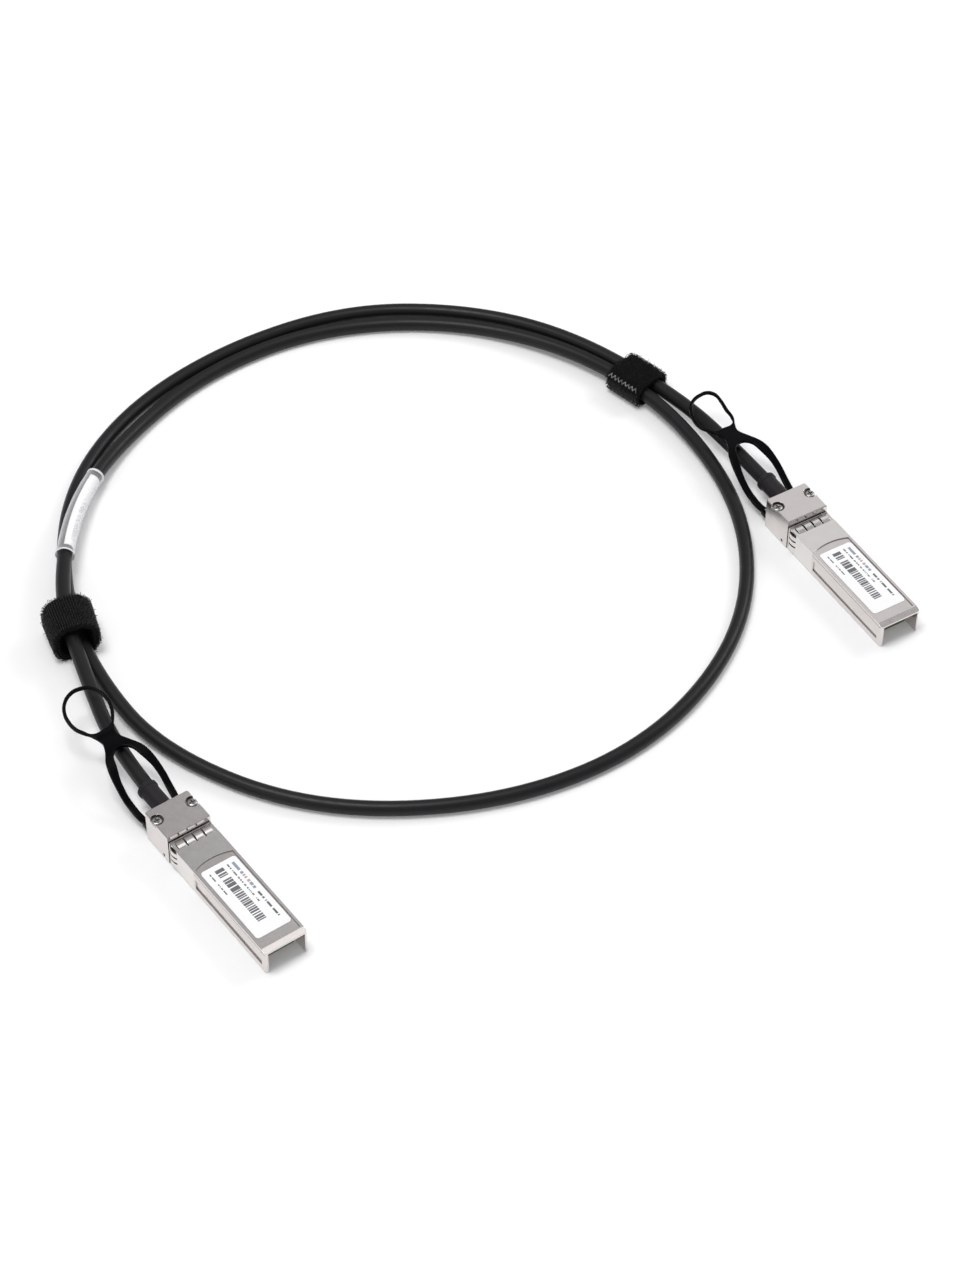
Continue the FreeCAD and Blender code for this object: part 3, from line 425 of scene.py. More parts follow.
def spring_line(tag, side):
    """The middle of one spring's wire."""
    points = []
    for i in range(WINDINGS * STEPS + 1):
        turn = i / STEPS
        rise = min(max((turn - FLAT_TURN) / (WINDINGS - 2 * FLAT_TURN), 0), 1)
        flat = min(turn, FLAT_TURN) + max(turn - WINDINGS + FLAT_TURN, 0)
        x = SPRING_ENDS[0] + FLAT_RISE * flat
        x += rise * (SPRING_ENDS[1] - SPRING_ENDS[0] - 2 * FLAT_RISE * FLAT_TURN)
        y = side * SPRING_SIDE + SPRING_RADIUS * math.cos(math.tau * turn)
        points.append(from_plug(tag, x, y, SPRING_HEIGHT + SPRING_RADIUS * math.sin(math.tau * turn)))
    return points


def spring_pair(tag, finish):
    lines = [spring_line(tag, side) for side in (-1, 1)]
    mesh = drawn_mesh(wire("return_spring_line", lines, WIRE_RADIUS, 3))
    mesh.materials.clear()
    mesh.materials.append(finish.material)
    springs = added("return_spring_pair_" + tag, mesh)
    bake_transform(springs)
    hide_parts("return_springs_" + tag)
    return springs


for tag in PLUGS:
    wound = spring_pair(tag, steel("spring_wire_" + tag, tag, WIRE_TONE, 0.3, WIRE_GRAIN))
    print(wound.name, "has", len(wound.data.polygons), "faces")

# %% [markdown]
# ## Inside the nose
# The paddle card is green board with gold pads on its tongue. Traces run from the pads to the cores, and are
# part of the material: bands across the card, seen through the green lacquer as a lighter green.

# %% Board, pads, chips and cores
for tag in PLUGS:
    board = Finish("green_board_" + tag, (0.012, 0.07, 0.035), 0.35)
    y = board.axes(board.place(tag))[1]
    lanes = board.sum("LESS_THAN", board.sum("PINGPONG", y, 0.55), 0.16)
    weave = board.noise(board.place(tag), 1.6)
    traces = board.product(lanes, 0.8)
    board.tone(traces, (0.010, 0.060, 0.030), (0.025, 0.13, 0.06))
    board.bump(board.sum("ADD", lanes, weave), 0.3, 0.03)
    dress("paddle_card_" + tag, board)

    gold = Finish("gold_pad_" + tag, (0.83, 0.60, 0.24), 0.25, 1.0)
    gold.roughen(gold.noise(gold.place(tag), 2.5), 0.18, 0.36)
    dress("edge_contacts_" + tag, gold)

    moulded = Finish("chip_resin_" + tag, (0.02, 0.02, 0.022), 0.55)
    moulded.bump(moulded.noise(moulded.place(tag), 9.0), 0.3, 0.03, 0.05)
    dress("memory_chip_" + tag, moulded)

    fired = Finish("capacitor_ceramic_" + tag, (0.42, 0.30, 0.20), 0.4)
    x = fired.axes(fired.place(tag))[0]
    capped = fired.sum("GREATER_THAN", fired.sum("ABSOLUTE", fired.sum("SUBTRACT", x, 16.0)), 0.3)
    fired.tone(capped, (0.42, 0.30, 0.20), (0.72, 0.72, 0.70))
    fired.set("Metallic", capped)
    dress("blocking_capacitors_" + tag, fired)

    core = Finish("core_insulation_" + tag, (0.78, 0.76, 0.70), 0.42)
    y = core.axes(core.place(tag))[1]
    sides = core.sum("GREATER_THAN", y, 0.0)
    core.tone(sides, (0.80, 0.78, 0.72), (0.16, 0.30, 0.52))
    core.bump(core.noise(core.place(tag), 3.0), 0.2, 0.04)
    dress("conductor_pairs_" + tag, core)

    tinned = Finish("tinned_ferrule_" + tag, (0.66, 0.63, 0.58), 0.3, 1.0)
    tinned.bump(tinned.noise(tinned.place(tag), 4.0), 0.4, 0.05)
    dress("crimp_ferrule_" + tag, tinned)
print("insides dressed")

# %% [markdown]
# ## Strain relief
# The boot is moulded over the cable's end in black vinyl. It is a little duller than the pull strap, with the
# fine grain of a spark-eroded mould.

# %% Boot finish
for tag in PLUGS:
    boot = Finish("moulded_boot_" + tag, (0.013, 0.011, 0.013), 0.5)
    boot.set("Specular IOR Level", 0.25)
    spot = boot.place(tag)
    boot.roughen(boot.noise(spot, 0.8), 0.4, 0.6)
    boot.bump(boot.noise(spot, 4.0, 4.0), 0.3, 0.05, 0.15)
    dress("cable_boot_" + tag, boot)
print("boots dressed")

# %% [markdown]
# ## Pull tabs
# Each tab is one flat strap of soft vinyl: two arms that hold the slider, a waist and a finger ring. It is
# drawn flat first, as a mould maker would draw it: a curve with a hole in it, given a thickness and rounded
# edges. The soft rings have lost their true shape in use, each in its own way, so each has its own points.

# %% The strap's outline and side view, in a plug's own millimetres
TAB_THICK, TAB_ROUND, TAB_PITCH = 1.1, 0.3, {"a": 14.0, "b": 7.0}
ARM_OUTSIDE = [(-11.75, 6.2), (-18.5, 7.15), (-25.7, 7.4), (-32.6, 6.2), (-36.9, 3.9), (-40.8, 2.8)]
ARM_INSIDE = [(-35.6, 0.0), (-34.3, 2.5), (-30.6, 3.95), (-25.7, 5.3), (-18.5, 5.1), (-11.75, 4.1)]
RINGS = {
    "a": [
        (-44.3, 3.7), (-46.6, 5.3), (-49.3, 6.6), (-52.2, 7.05), (-55.4, 6.3), (-58.0, 4.2), (-59.2, 1.1),
        (-58.9, -2.0), (-57.2, -4.8), (-54.4, -6.7), (-51.2, -7.3), (-48.0, -6.8), (-45.8, -5.4), (-43.9, -3.8),
    ],
    "b": [
        (-43.9, 3.6), (-46.4, 4.8), (-50.2, 5.1), (-54.2, 5.5), (-57.3, 5.2), (-59.1, 3.4), (-59.3, 0.6),
        (-58.6, -2.1), (-56.9, -4.5), (-54.2, -6.1), (-51.0, -7.0), (-47.7, -6.7), (-45.4, -5.2), (-43.7, -3.8),
    ],
}
SIDE_VIEW = [
    (11.75, 3.0), (16.75, 3.2), (21.05, 4.6), (26.25, 7.7),
    (31.05, 10.0), (35.6, 10.8), (38.95, 10.3), (42.3, 9.5),
]


def strap_height(back, pitch):
    """Height of the strap's middle layer at a distance behind the stop line, smoothed over 2.4 mm."""
    total = 0.0
    for shift in (-1.2, -0.6, 0.0, 0.6, 1.2):
        at = back + shift
        height = SIDE_VIEW[-1][1] + (at - SIDE_VIEW[-1][0]) * math.tan(math.radians(pitch))
        for (x0, z0), (x1, z1) in zip(SIDE_VIEW, SIDE_VIEW[1:]):
            if at < x1:
                height = z0 + (z1 - z0) * max(0.0, (at - x0) / (x1 - x0))
                break
        total += height
    return total / 5


print("strap crest at %.1f mm" % max(strap_height(x / 2, 14) for x in range(24, 84)))


# %% Draw the strap flat
def smooth_loop(drawing, points, corners=()):
    """Adds a closed smooth outline to a flat curve; the points listed in corners stay sharp."""
    spline = drawing.splines.new("BEZIER")
    spline.bezier_points.add(len(points) - 1)
    for i, (place, point) in enumerate(zip(spline.bezier_points, points)):
        place.co = (*point, 0)
        place.handle_left_type = place.handle_right_type = "VECTOR" if i in corners else "AUTO"
    spline.use_cyclic_u = True


def flat_strap(ring):
    """The strap as a flat plate with rounded edges, in millimetres."""
    drawing = bpy.data.curves.new("strap_outline", "CURVE")
    drawing.dimensions, drawing.fill_mode, drawing.resolution_u = "2D", "BOTH", 8
    drawing.extrude, drawing.bevel_depth, drawing.bevel_resolution = TAB_THICK / 2 - TAB_ROUND, TAB_ROUND, 3
    drawing.offset = -TAB_ROUND
    other = [(x, -y) for x, y in ARM_OUTSIDE[::-1] + ARM_INSIDE[:0:-1]]
    outline = ARM_OUTSIDE + ring + other + ARM_INSIDE
    turn = len(ARM_OUTSIDE + ring)
    ends = (0, turn + len(ARM_OUTSIDE) - 1, turn + len(ARM_OUTSIDE), len(outline) - 1)
    smooth_loop(drawing, outline, ends)
    centre = Vector((-51.6, sum(y for x, y in ring) / len(ring)))
    inside = [Vector(p) + (centre - Vector(p)).normalized() for p in ring]
    smooth_loop(drawing, inside + [Vector((-44.4, centre.y))])
    return drawn_mesh(drawing)


plates = {tag: flat_strap(RINGS[tag]) for tag in PLUGS}
print({tag: len(plate.polygons) for tag, plate in plates.items()})

# %% [markdown]
# The plate is now cut across every 0.8 mm, which gives it points to bend at, and lifted along the side view.
# Each point keeps its distance from the middle layer, so the strap is as thick on the slope as on the flat.
# Two small rounded blocks at the front are where the strap is moulded round the slider's arms.


# %% Bend the strap and add its moulded ends
STRAP_FRONT, CUT_STEP, CUTS = -11.75, 0.8, 60
BLOCK_BACK, BLOCK_SIDES, BLOCK_HEIGHTS, BLOCK_ROUND = -14.35, (4.6, 6.6), (1.9, 4.1), 0.35


def rounded_block(shape, low, high, rounding):
    corners = bmesh.ops.create_cube(shape, size=1.0)["verts"]
    for corner in corners:
        corner.co = Vector([(a + b) / 2 + c * (b - a) for a, b, c in zip(low, high, corner.co)])
    edges = list({edge for corner in corners for edge in corner.link_edges})
    bmesh.ops.bevel(shape, geom=edges, offset=rounding, segments=3, affect="EDGES", profile=0.5)


def bent_strap(tag, finish):
    shape = bmesh.new()
    shape.from_mesh(plates[tag])
    bmesh.ops.remove_doubles(shape, verts=shape.verts, dist=0.002)
    for step in range(1, CUTS):
        everything = shape.verts[:] + shape.edges[:] + shape.faces[:]
        cut = (STRAP_FRONT - CUT_STEP * step, 0, 0)
        bmesh.ops.bisect_plane(shape, geom=everything, plane_co=cut, plane_no=(1, 0, 0))
    for point in shape.verts:
        back = -point.co.x
        ahead, behind = (strap_height(back + step, TAB_PITCH[tag]) for step in (0.2, -0.2))
        slope = math.atan((ahead - behind) / 0.4)
        lift = point.co.z
        point.co.x += lift * math.sin(slope)
        point.co.z = strap_height(back, TAB_PITCH[tag]) + lift * math.cos(slope)
    for side in (-1, 1):
        low, high = zip((BLOCK_BACK, STRAP_FRONT), sorted(side * y for y in BLOCK_SIDES), BLOCK_HEIGHTS)
        rounded_block(shape, low, high, BLOCK_ROUND)
    for point in shape.verts:
        point.co = from_plug(tag, *point.co)
    bmesh.ops.recalc_face_normals(shape, faces=shape.faces[:])
    mesh = bpy.data.meshes.new("pull_strap_" + tag)
    shape.to_mesh(mesh)
    shape.free()
    mesh.polygons.foreach_set("use_smooth", [True] * len(mesh.polygons))
    mesh.materials.append(finish.material)
    return added("pull_strap_" + tag, mesh)


for tag in PLUGS:
    vinyl = Finish("polished_strap_" + tag, (0.0015, 0.0015, 0.002), 0.3)
    vinyl.set("Specular IOR Level", 0.06)
    spot = vinyl.place(tag)
    vinyl.roughen(vinyl.noise(spot, 0.5), 0.20, 0.32)
    vinyl.bump(vinyl.noise(spot, 0.5, 2.0), 0.2, 0.05)
    pull = bent_strap(tag, vinyl)
    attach(pull, "pull_" + tag)
    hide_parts("pull_tab_" + tag)
    print(pull.name, "has", len(pull.data.polygons), "faces")

# %% [markdown]
# ## The plug's label
# Each lid carries a white paper label. Its print is only rows of small dashes, a band of upright bars and a
# tint or two, which say nothing. Random values for narrow columns cut up the rows, so no picture is needed.


# %% Label print
def columns(finish, value, pitch, share, seed):
    """1 in a random share of the narrow columns along a value."""
    step = finish.sum("FLOOR", finish.sum("DIVIDE", value, pitch))
    place = {"W": finish.sum("ADD", step, seed)}
    dice = finish.add("ShaderNodeTexWhiteNoise", place, noise_dimensions="1D")["Value"]
    return finish.sum("LESS_THAN", dice, share)


LABEL_ROWS = [
    # (low y, high y, low x, high x, column pitch, share of columns, seed)
    (3.35, 4.2, 15.6, 27.0, 0.31, 0.74, 3.5),
    (3.4, 4.05, 28.4, 38.6, 0.36, 0.76, 17.5),
    (1.9, 2.35, 15.6, 31.5, 0.28, 0.68, 41.5),
    (-3.9, -3.5, 15.6, 24.5, 0.30, 0.66, 97.5),
]
BAR_GROUPS = [(15.6, 18.7), (19.8, 37.2)]
BAR_SPAN, BAR_WIDTH = (-2.1, 0.6), 0.42
TITLE_Y, TITLE_X, RED_X = (3.2, 4.4), (15.0, 27.5), (21.0, 24.5)
for tag in PLUGS:
    label = Finish("label_paper_" + tag, (0.86, 0.86, 0.86), 0.6)
    spot = label.place(tag)
    x, y, _ = label.axes(spot)
    ink = 0.0
    for low, high, start, end, pitch, share, seed in LABEL_ROWS:
        dashes = columns(label, x, pitch, share, seed)
        row = label.product(label.within(y, low, high), label.within(x, start, end), dashes)
        ink = label.sum("MAXIMUM", ink, row)
    even = label.sum("LESS_THAN", label.sum("PINGPONG", x, BAR_WIDTH), BAR_WIDTH / 2)
    bars = label.sum("MAXIMUM", even, columns(label, x, BAR_WIDTH, 0.28, 71.5))
    for start, end in BAR_GROUPS:
        group = label.product(label.within(y, *BAR_SPAN), label.within(x, start, end), bars)
        ink = label.sum("MAXIMUM", ink, group)
    title = label.product(label.within(y, *TITLE_Y), label.within(x, *TITLE_X))
    tint = label.blend(title, (0.05, 0.05, 0.06), (0.20, 0.25, 0.36))
    tint = label.blend(label.product(title, label.within(x, *RED_X)), tint, (0.46, 0.28, 0.30))
    faint = label.blend(label.noise(spot, 0.3), (0.90, 0.90, 0.90), (0.94, 0.94, 0.94))
    label.tone(label.product(ink, 0.9), faint, tint)
    label.bump(label.noise(spot, 3.0), 0.15, 0.03)
    dress("plug_label_" + tag, label)
print("labels printed with", len(LABEL_ROWS), "rows")

# %% [markdown]
# ## Making a mesh
# The fabric straps and the sleeve are strips and tubes laid out as a grid of points. One helper turns a grid
# into a mesh, and checks by its volume that its faces look outwards.


# %% Mesh helper
def grid_mesh(name, rings, finish, close_ring=True, caps=True):
    """A skin over rings of points, with a UV map: u along the rings' order, v round each ring."""
    count = len(rings[0])
    points = [p for ring in rings for p in ring]
    faces, places = [], []
    around = count if close_ring else count - 1
    for i in range(len(rings) - 1):
        for j in range(around):
            k = (j + 1) % count
            faces.append((i * count + j, i * count + k, (i + 1) * count + k, (i + 1) * count + j))
            u, v = (i / (len(rings) - 1), (i + 1) / (len(rings) - 1)), (j / around, (j + 1) / around)
            places.append([(u[0], v[0]), (u[0], v[1]), (u[1], v[1]), (u[1], v[0])])
    if caps:
        last = (len(rings) - 1) * count
        faces.append(tuple(range(count))[::-1])
        faces.append(tuple(last + j for j in range(count)))
        places += [[(0, 0)] * count, [(1, 0)] * count]
    mesh = bpy.data.meshes.new(name)
    mesh.from_pydata(points, [], faces)
    layer = mesh.uv_layers.new(name="UVMap")
    layer.data.foreach_set("uv", [value for face in places for uv in face for value in uv])
    volume = sum(
        points[face[0]].dot(points[face[k]].cross(points[face[k + 1]]))
        for face in faces
        for k in range(1, len(face) - 1)
    )
    if volume < 0:
        mesh.flip_normals()
    mesh.polygons.foreach_set("use_smooth", [True] * len(mesh.polygons))
    mesh.materials.append(finish.material)
    return added(name, mesh)


print("mesh helper ready")

# %% [markdown]
# ## Hook-and-loop straps
# Each strap is one strip of fabric wound nearly twice round both strands, its end over its first turn. A plain
# band would look like plastic, so the strip is a real spiral with a soft, uneven edge. Geometry Nodes then
# plant bent fibres on what shows of it, and rows of small plastic hooks where its hook side faces out.

# %% Fabric finish
fabric = Finish("black_brushed_fabric", (0.004, 0.004, 0.0045), 0.95)
fabric.set("Specular IOR Level", 0.15)
fabric.set("Sheen Weight", 0.06)
fabric.set("Sheen Roughness", 0.5)
spot = fabric.place()
tuft = fabric.noise(spot, 2.2, 5.0, 0.7)
fabric.tone(tuft, (0.0015, 0.0015, 0.0015), (0.007, 0.007, 0.0075))
fabric.bump(tuft, 0.9, 0.25)
print("fabric ready")


# %% The strap's path
def rounded_box_point(share, width, height, corners, grow):
    """A point of a rounded rectangle and its outward direction; share 0 is mid-top, and it goes left."""
    half, tall = width / 2 + grow, height / 2 + grow
    low, high = corners[0] + grow, corners[1] + grow
    quarter = math.pi / 2
    pieces = [
        ("line", (0, tall), (high - half, tall), (0, 1)),
        ("arc", (high - half, tall - high), high, quarter),
        ("line", (-half, tall - high), (-half, low - tall), (-1, 0)),
        ("arc", (low - half, low - tall), low, 2 * quarter),
        ("line", (low - half, -tall), (half - low, -tall), (0, -1)),
        ("arc", (half - low, low - tall), low, 3 * quarter),
        ("line", (half, low - tall), (half, tall - high), (1, 0)),
        ("arc", (half - high, tall - high), high, 0.0),
        ("line", (half - high, tall), (0, tall), (0, 1)),
    ]
    lengths = [math.dist(p[1], p[2]) if p[0] == "line" else p[2] * quarter for p in pieces]
    left = (share % 1.0) * sum(lengths)
    for piece, length in zip(pieces, lengths):
        if left > length and piece is not pieces[-1]:
            left -= length
            continue
        if piece[0] == "line":
            t = left / max(length, 1e-9)
            return [a + (b - a) * t for a, b in zip(piece[1], piece[2])], piece[3]
        turn = piece[3] + quarter * left / length
        out = (math.cos(turn), math.sin(turn))
        return [c + piece[2] * o for c, o in zip(piece[1], out)], out


STRAP_THICK, STRAP_WIDTH, STRAP_STEP, STRAP_BASE = 0.72, 13.4, 0.74, 1.6
STRAPS = {
    "tie_left": dict(
        at=(15.3, 86.6), turn=73.0, inside=(9.8, 9.7), corners=(2.7, 3.6),
        turns=(0.42, 2.30), seed=1.0, taper=-0.04,
    ),
    "tie_right": dict(
        at=(213.4, 76.3), turn=-79.8, inside=(10.4, 4.9), corners=(2.3, 2.3),
        turns=(0.42, 2.20), seed=5.0, taper=0.0,
    ),
}


def strip_point(facts, t, across, lift):
    """A point of the strip after t turns, across and lift mm off its middle line, and the way outwards."""
    along = math.radians(facts["turn"])
    axis, side = Vector((math.cos(along), math.sin(along), 0)), Vector((-math.sin(along), math.cos(along), 0))
    grow = max(0.02, STRAP_STEP * t - 0.34) + lift
    (y, z), (ny, nz) = rounded_box_point(t, *facts["inside"], facts["corners"], grow)
    y *= 1 - facts["taper"] * across / STRAP_WIDTH * 2
    middle = Vector((*facts["at"], STRAP_BASE + facts["inside"][1] / 2)) + side * y + Vector((0, 0, z))
    return middle + axis * across, side * ny + Vector((0, 0, nz))


for name, facts in STRAPS.items():
    print(name, "ends %.1f mm above the floor" % strip_point(facts, facts["turns"][1], 0, 0)[0].z)

# %% Wind the strips
STRIP_TOP = [(-1, 0.25), (-1, 0.75), (-0.93, 1), (0, 1), (0.93, 1)]
STRIP_SECTION = STRIP_TOP + [(1, 0.75), (1, 0.25), (0.93, 0), (0, 0), (-0.93, 0)]


def wound_strap(name, facts, bare):
    """A strip wound round the strands; its face attribute brush says where fibres grow."""
    first, last = facts["turns"]
    steps, rings = int(150 * (last - first)), []
    turns = [first + (last - first) * i / steps for i in range(steps + 1)]
    for t in turns:
        wobble = [noise.noise(Vector((t * 9.0, facts["seed"] + k * 7.3, 0))) for k in range(2)]
        half = [STRAP_WIDTH / 2 - 0.3 + 0.22 * w for w in wobble]
        rings.append([
            strip_point(facts, t, across * half[across > 0], STRAP_THICK * lift)[0] * MM
            for across, lift in STRIP_SECTION
        ])
    shape = grid_mesh(name, rings, fabric)
    brush = shape.data.attributes.new("brush", "FLOAT", "FACE")
    around = len(STRIP_SECTION)
    for face in range(len(shape.data.polygons)):
        i, j = divmod(face, around)
        t = turns[min(i, steps)]
        outside = 1 <= j <= 4 and t > last - 1.0 and not bare[0] < t < bare[1]
        brush.data[face].value = 1.0 if outside or j in (0, 5) else 0.0
    return shape


NOWHERE = (9.0, 9.0)  # beyond the last turn
BARE = {"tie_left": NOWHERE, "tie_right": (1.20, 1.62)}
straps = {name: wound_strap(name + "_fabric", facts, BARE[name]) for name, facts in STRAPS.items()}
print({name: len(shape.data.polygons) for name, shape in straps.items()})

# %% [markdown]
# The fibres are planted by a tree with named inputs: how many, how long, how thick, and a seed. Points are
# scattered where the brush attribute allows, a bent thread stands on each, and the threads lean every way, as
# brushed loops do. The result is then turned into one plain mesh with the strip itself.


# %% Nodes shared by both trees
def new_tree(name, numbers):
    """An empty tree with a geometry socket each way and named number inputs; gives its two ends too."""
    tree = bpy.data.node_groups.new(name, "GeometryNodeTree")
    tree.interface.new_socket("Geometry", in_out="INPUT", socket_type="NodeSocketGeometry")
    for label in numbers:
        kind = "Int" if label == "Seed" else "Float"
        tree.interface.new_socket(label, in_out="INPUT", socket_type="NodeSocket" + kind)
    tree.interface.new_socket("Geometry", in_out="OUTPUT", socket_type="NodeSocketGeometry")
    return tree, tree.nodes.new("NodeGroupInput").outputs, tree.nodes.new("NodeGroupOutput").inputs


def bent_thread(tree, given, middle, end, points, sides):
    """One thread 1 long, from a bent line and a round section; gives its geometry socket."""
    bend = {"Resolution": points, "Start": (0, 0, 0), "Middle": middle, "End": end}
    rim = {"Resolution": sides, "Radius": given["Thickness"]}
    line = add_node(tree, "GeometryNodeCurveQuadraticBezier", bend)[0]
    section = add_node(tree, "GeometryNodeCurvePrimitiveCircle", rim)[0]
    skin = {"Curve": line, "Profile Curve": section, "Fill Caps": True}
    return add_node(tree, "GeometryNodeCurveToMesh", skin)[0]


def named_value(tree, name, kind):
    return add_node(tree, "GeometryNodeInputNamedAttribute", {"Name": name}, data_type=kind)[0]


def planted(tree, given, points, thread, rotation, low, high):
    """A thread on every point, turned at random between two limits round its own axes, to the given length."""
    limits = {0: low, 1: high, "Seed": given["Seed"]}
    spin = add_node(tree, "FunctionNodeRandomValue", limits, data_type="FLOAT_VECTOR")[0]
    lean = add_node(tree, "FunctionNodeRotateRotation", {0: rotation, 1: spin}, rotation_space="LOCAL")[0]
    plant = {"Points": points, "Instance": thread, "Rotation": lean, "Scale": given["Length"]}
    return add_node(tree, "GeometryNodeInstanceOnPoints", plant)[0]


def finished(tree, result, parts, finish):
    """Ends a tree: its parts as one real mesh with a material."""
    both = tree.nodes.new("GeometryNodeJoinGeometry")
    for part in parts:
        tree.links.new(part, both.inputs[0])
    real = add_node(tree, "GeometryNodeRealizeInstances", {0: both.outputs[0]})[0]
    paint = add_node(tree, "GeometryNodeSetMaterial", {"Geometry": real, "Material": finish.material})
    tree.links.new(paint[0], result[0])


print("tree helpers ready")


# %% A tree that plants fibres
def fibre_tree(name, finish):
    tree, given, result = new_tree(name, ("Fibres per square metre", "Length", "Thickness", "Seed"))
    share = {0: given["Fibres per square metre"], 1: named_value(tree, "brush", "FLOAT")}
    density = add_node(tree, "ShaderNodeMath", share, operation="MULTIPLY")[0]
    field = {"Mesh": given["Geometry"], "Density": density, "Seed": given["Seed"]}
    spots = add_node(tree, "GeometryNodeDistributePointsOnFaces", field)
    thread = bent_thread(tree, given, (0.1, 0, 0.6), (0.55, 0, 0.8), 2, 3)
    limits = (-0.5, -0.5, 0.0), (0.5, 0.5, 6.28)
    fibres = planted(tree, given, spots["Points"], thread, spots["Rotation"], *limits)
    finished(tree, result, [fibres, given["Geometry"]], finish)
    return tree


def grown(shape, tree, numbers):
    """Runs a tree on an object and keeps the result, pressed flat on the floor, as its own plain mesh."""
    modifier = shape.modifiers.new("tree", "NODES")
    modifier.node_group = tree
    for item in tree.interface.items_tree:
        if item.in_out == "INPUT" and item.name in numbers:
            modifier[item.identifier] = numbers[item.name]
    bpy.context.view_layer.update()
    made = bpy.data.meshes.new_from_object(shape.evaluated_get(bpy.context.evaluated_depsgraph_get()))
    shape.modifiers.remove(modifier)
    shape.data = made
    for point in made.vertices:
        point.co.z = max(point.co.z, 0.02 * MM)


FIBRES = [
    # (tree, fibres per square metre, length in mm, thickness as a share of it, seed)
    (fibre_tree("fine_fuzz", fabric), 8.0e6, 0.7, 0.04, 11),
    (fibre_tree("coarse_tufts", fabric), 1.3e6, 0.85, 0.08, 21),
]
for number, (name, strap) in enumerate(straps.items()):
    for tree, count, length, thickness, seed in FIBRES:
        numbers = {"Fibres per square metre": count, "Length": length * MM, "Thickness": thickness}
        grown(strap, tree, {**numbers, "Seed": seed + number})
    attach(strap, "coil")
    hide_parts(name)
    print(name, "has", sum(len(p.vertices) - 2 for p in strap.data.polygons), "triangles")

# %% [markdown]
# The hook side carries rows of tiny moulded hooks. A second tree takes one point for each hook, with its
# outward direction as an attribute, and stands a bent plastic thread on it. The left strap has its hook side
# out all round, the right one only below its sewn end.

# %% Hook plastic and where hooks stand
hook_plastic = Finish("black_hook_plastic", (0.036, 0.036, 0.038), 0.34)
hook_plastic.set("Specular IOR Level", 0.6)
hook_plastic.roughen(hook_plastic.noise(hook_plastic.place(), 4.0), 0.3, 0.5)
HOOK_FIELDS = {
    # (first turn, last turn, pitch in mm, hook length in mm)
    "tie_left": (1.31, 2.29, 0.66, 0.65),
    "tie_right": (1.22, 1.64, 0.56, 0.85),
}
HOOK_MARGIN, HOOK_THICKNESS, HOOK_SEED = 1.4, 0.12, 5


def hook_places(name, facts, first, last, pitch):
    """A mesh of lone points in rows on the outside of the strip."""
    spots, ways = [], []
    girth, width = 2 * (sum(facts["inside"]) + 1.6), STRAP_WIDTH - HOOK_MARGIN
    rows, across = int((last - first) * girth / pitch), int(width / pitch)
    for i in range(rows + 1):
        t = first + (last - first) * i / rows
        for j in range(across + 1):
            jitter = 0.12 * noise.noise(Vector((i * 1.7, j * 1.3, facts["seed"])))
            reach = (j / across - 0.5) * width + jitter + 0.25 * pitch * (-1) ** i
            spot, way = strip_point(facts, t, reach, STRAP_THICK)
            spots.append(spot * MM)
            ways.append(way)
    mesh = bpy.data.meshes.new(name)
    mesh.from_pydata(spots, [], [])
    outward = mesh.attributes.new("outward", "FLOAT_VECTOR", "POINT")
    outward.data.foreach_set("vector", [value for way in ways for value in way])
    mesh.materials.append(hook_plastic.material)
    return added(name, mesh)


def hook_tree(name, finish):
    tree, given, result = new_tree(name, ("Length", "Thickness", "Seed"))
    outward = {"Vector": named_value(tree, "outward", "FLOAT_VECTOR")}
    upright = add_node(tree, "FunctionNodeAlignRotationToVector", outward)[0]
    thread = bent_thread(tree, given, (0.0, 0, 1.45), (0.5, 0, 0.7), 4, 4)
    limits = (-0.2, -0.2, -0.5), (0.2, 0.2, 0.5)
    finished(tree, result, [planted(tree, given, given["Geometry"], thread, upright, *limits)], finish)
    return tree


moulded_hooks, hooks = hook_tree("moulded_hooks", hook_plastic), {}
for name, (first, last, pitch, length) in HOOK_FIELDS.items():
    hooks[name] = hook_places(name + "_hooks", STRAPS[name], first, last, pitch)
    grown(hooks[name], moulded_hooks, {"Length": length * MM, "Thickness": HOOK_THICKNESS, "Seed": HOOK_SEED})
    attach(hooks[name], "coil")
    print(name, "has", sum(len(p.vertices) - 2 for p in hooks[name].data.polygons), "triangles of hooks")

# %% [markdown]
# The right strap's end is sewn down with a pale zigzag seam across its width. One bent line with a round
# section is the thread, and it dips in and out of the fabric at each corner.

# %% Zigzag seam
seam_thread = Finish("pale_seam_thread", (0.30, 0.29, 0.31), 0.6)
twist = seam_thread.noise(seam_thread.place(), 6.0)
seam_thread.tone(twist, (0.42, 0.41, 0.43), (0.70, 0.69, 0.71))
seam_thread.bump(twist, 0.4, 0.05)


def zigzag(facts, end, pitch, tall):
    """A line to and fro across the strip after so many turns; pitch and height in millimetres."""
    girth, width = 2 * (sum(facts["inside"]) + 3.0), STRAP_WIDTH - 2.0
    count, points = int(width / (pitch / 2)), []
    for i in range(2 * count + 1):
        corner = i % 2 == 0
        t = end + (tall / 2 / girth) * ((-1) ** (i // 2) if corner else 0)
        reach = (i / (2 * count) - 0.5) * width
        points.append(strip_point(facts, t, reach, STRAP_THICK + (0.05 if corner else 0.3))[0] * MM)
    return points


stitches = zigzag(STRAPS["tie_right"], end=2.165, pitch=1.4, tall=1.3)
seam = added("tie_right_seam", wire("tie_right_seam", [stitches], 0.10, 2))
seam.data.materials.append(seam_thread.material)
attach(seam, "coil")
print("seam drawn")

# %% [markdown]
# ## The marker sleeve
# A white paper marker lies round the cable under a loose clear film. The film is a thin tube with a little
# slack, and its edges look paler than its face. Both follow the cable's own smooth line, so the sleeve
# sits where the cable really is.

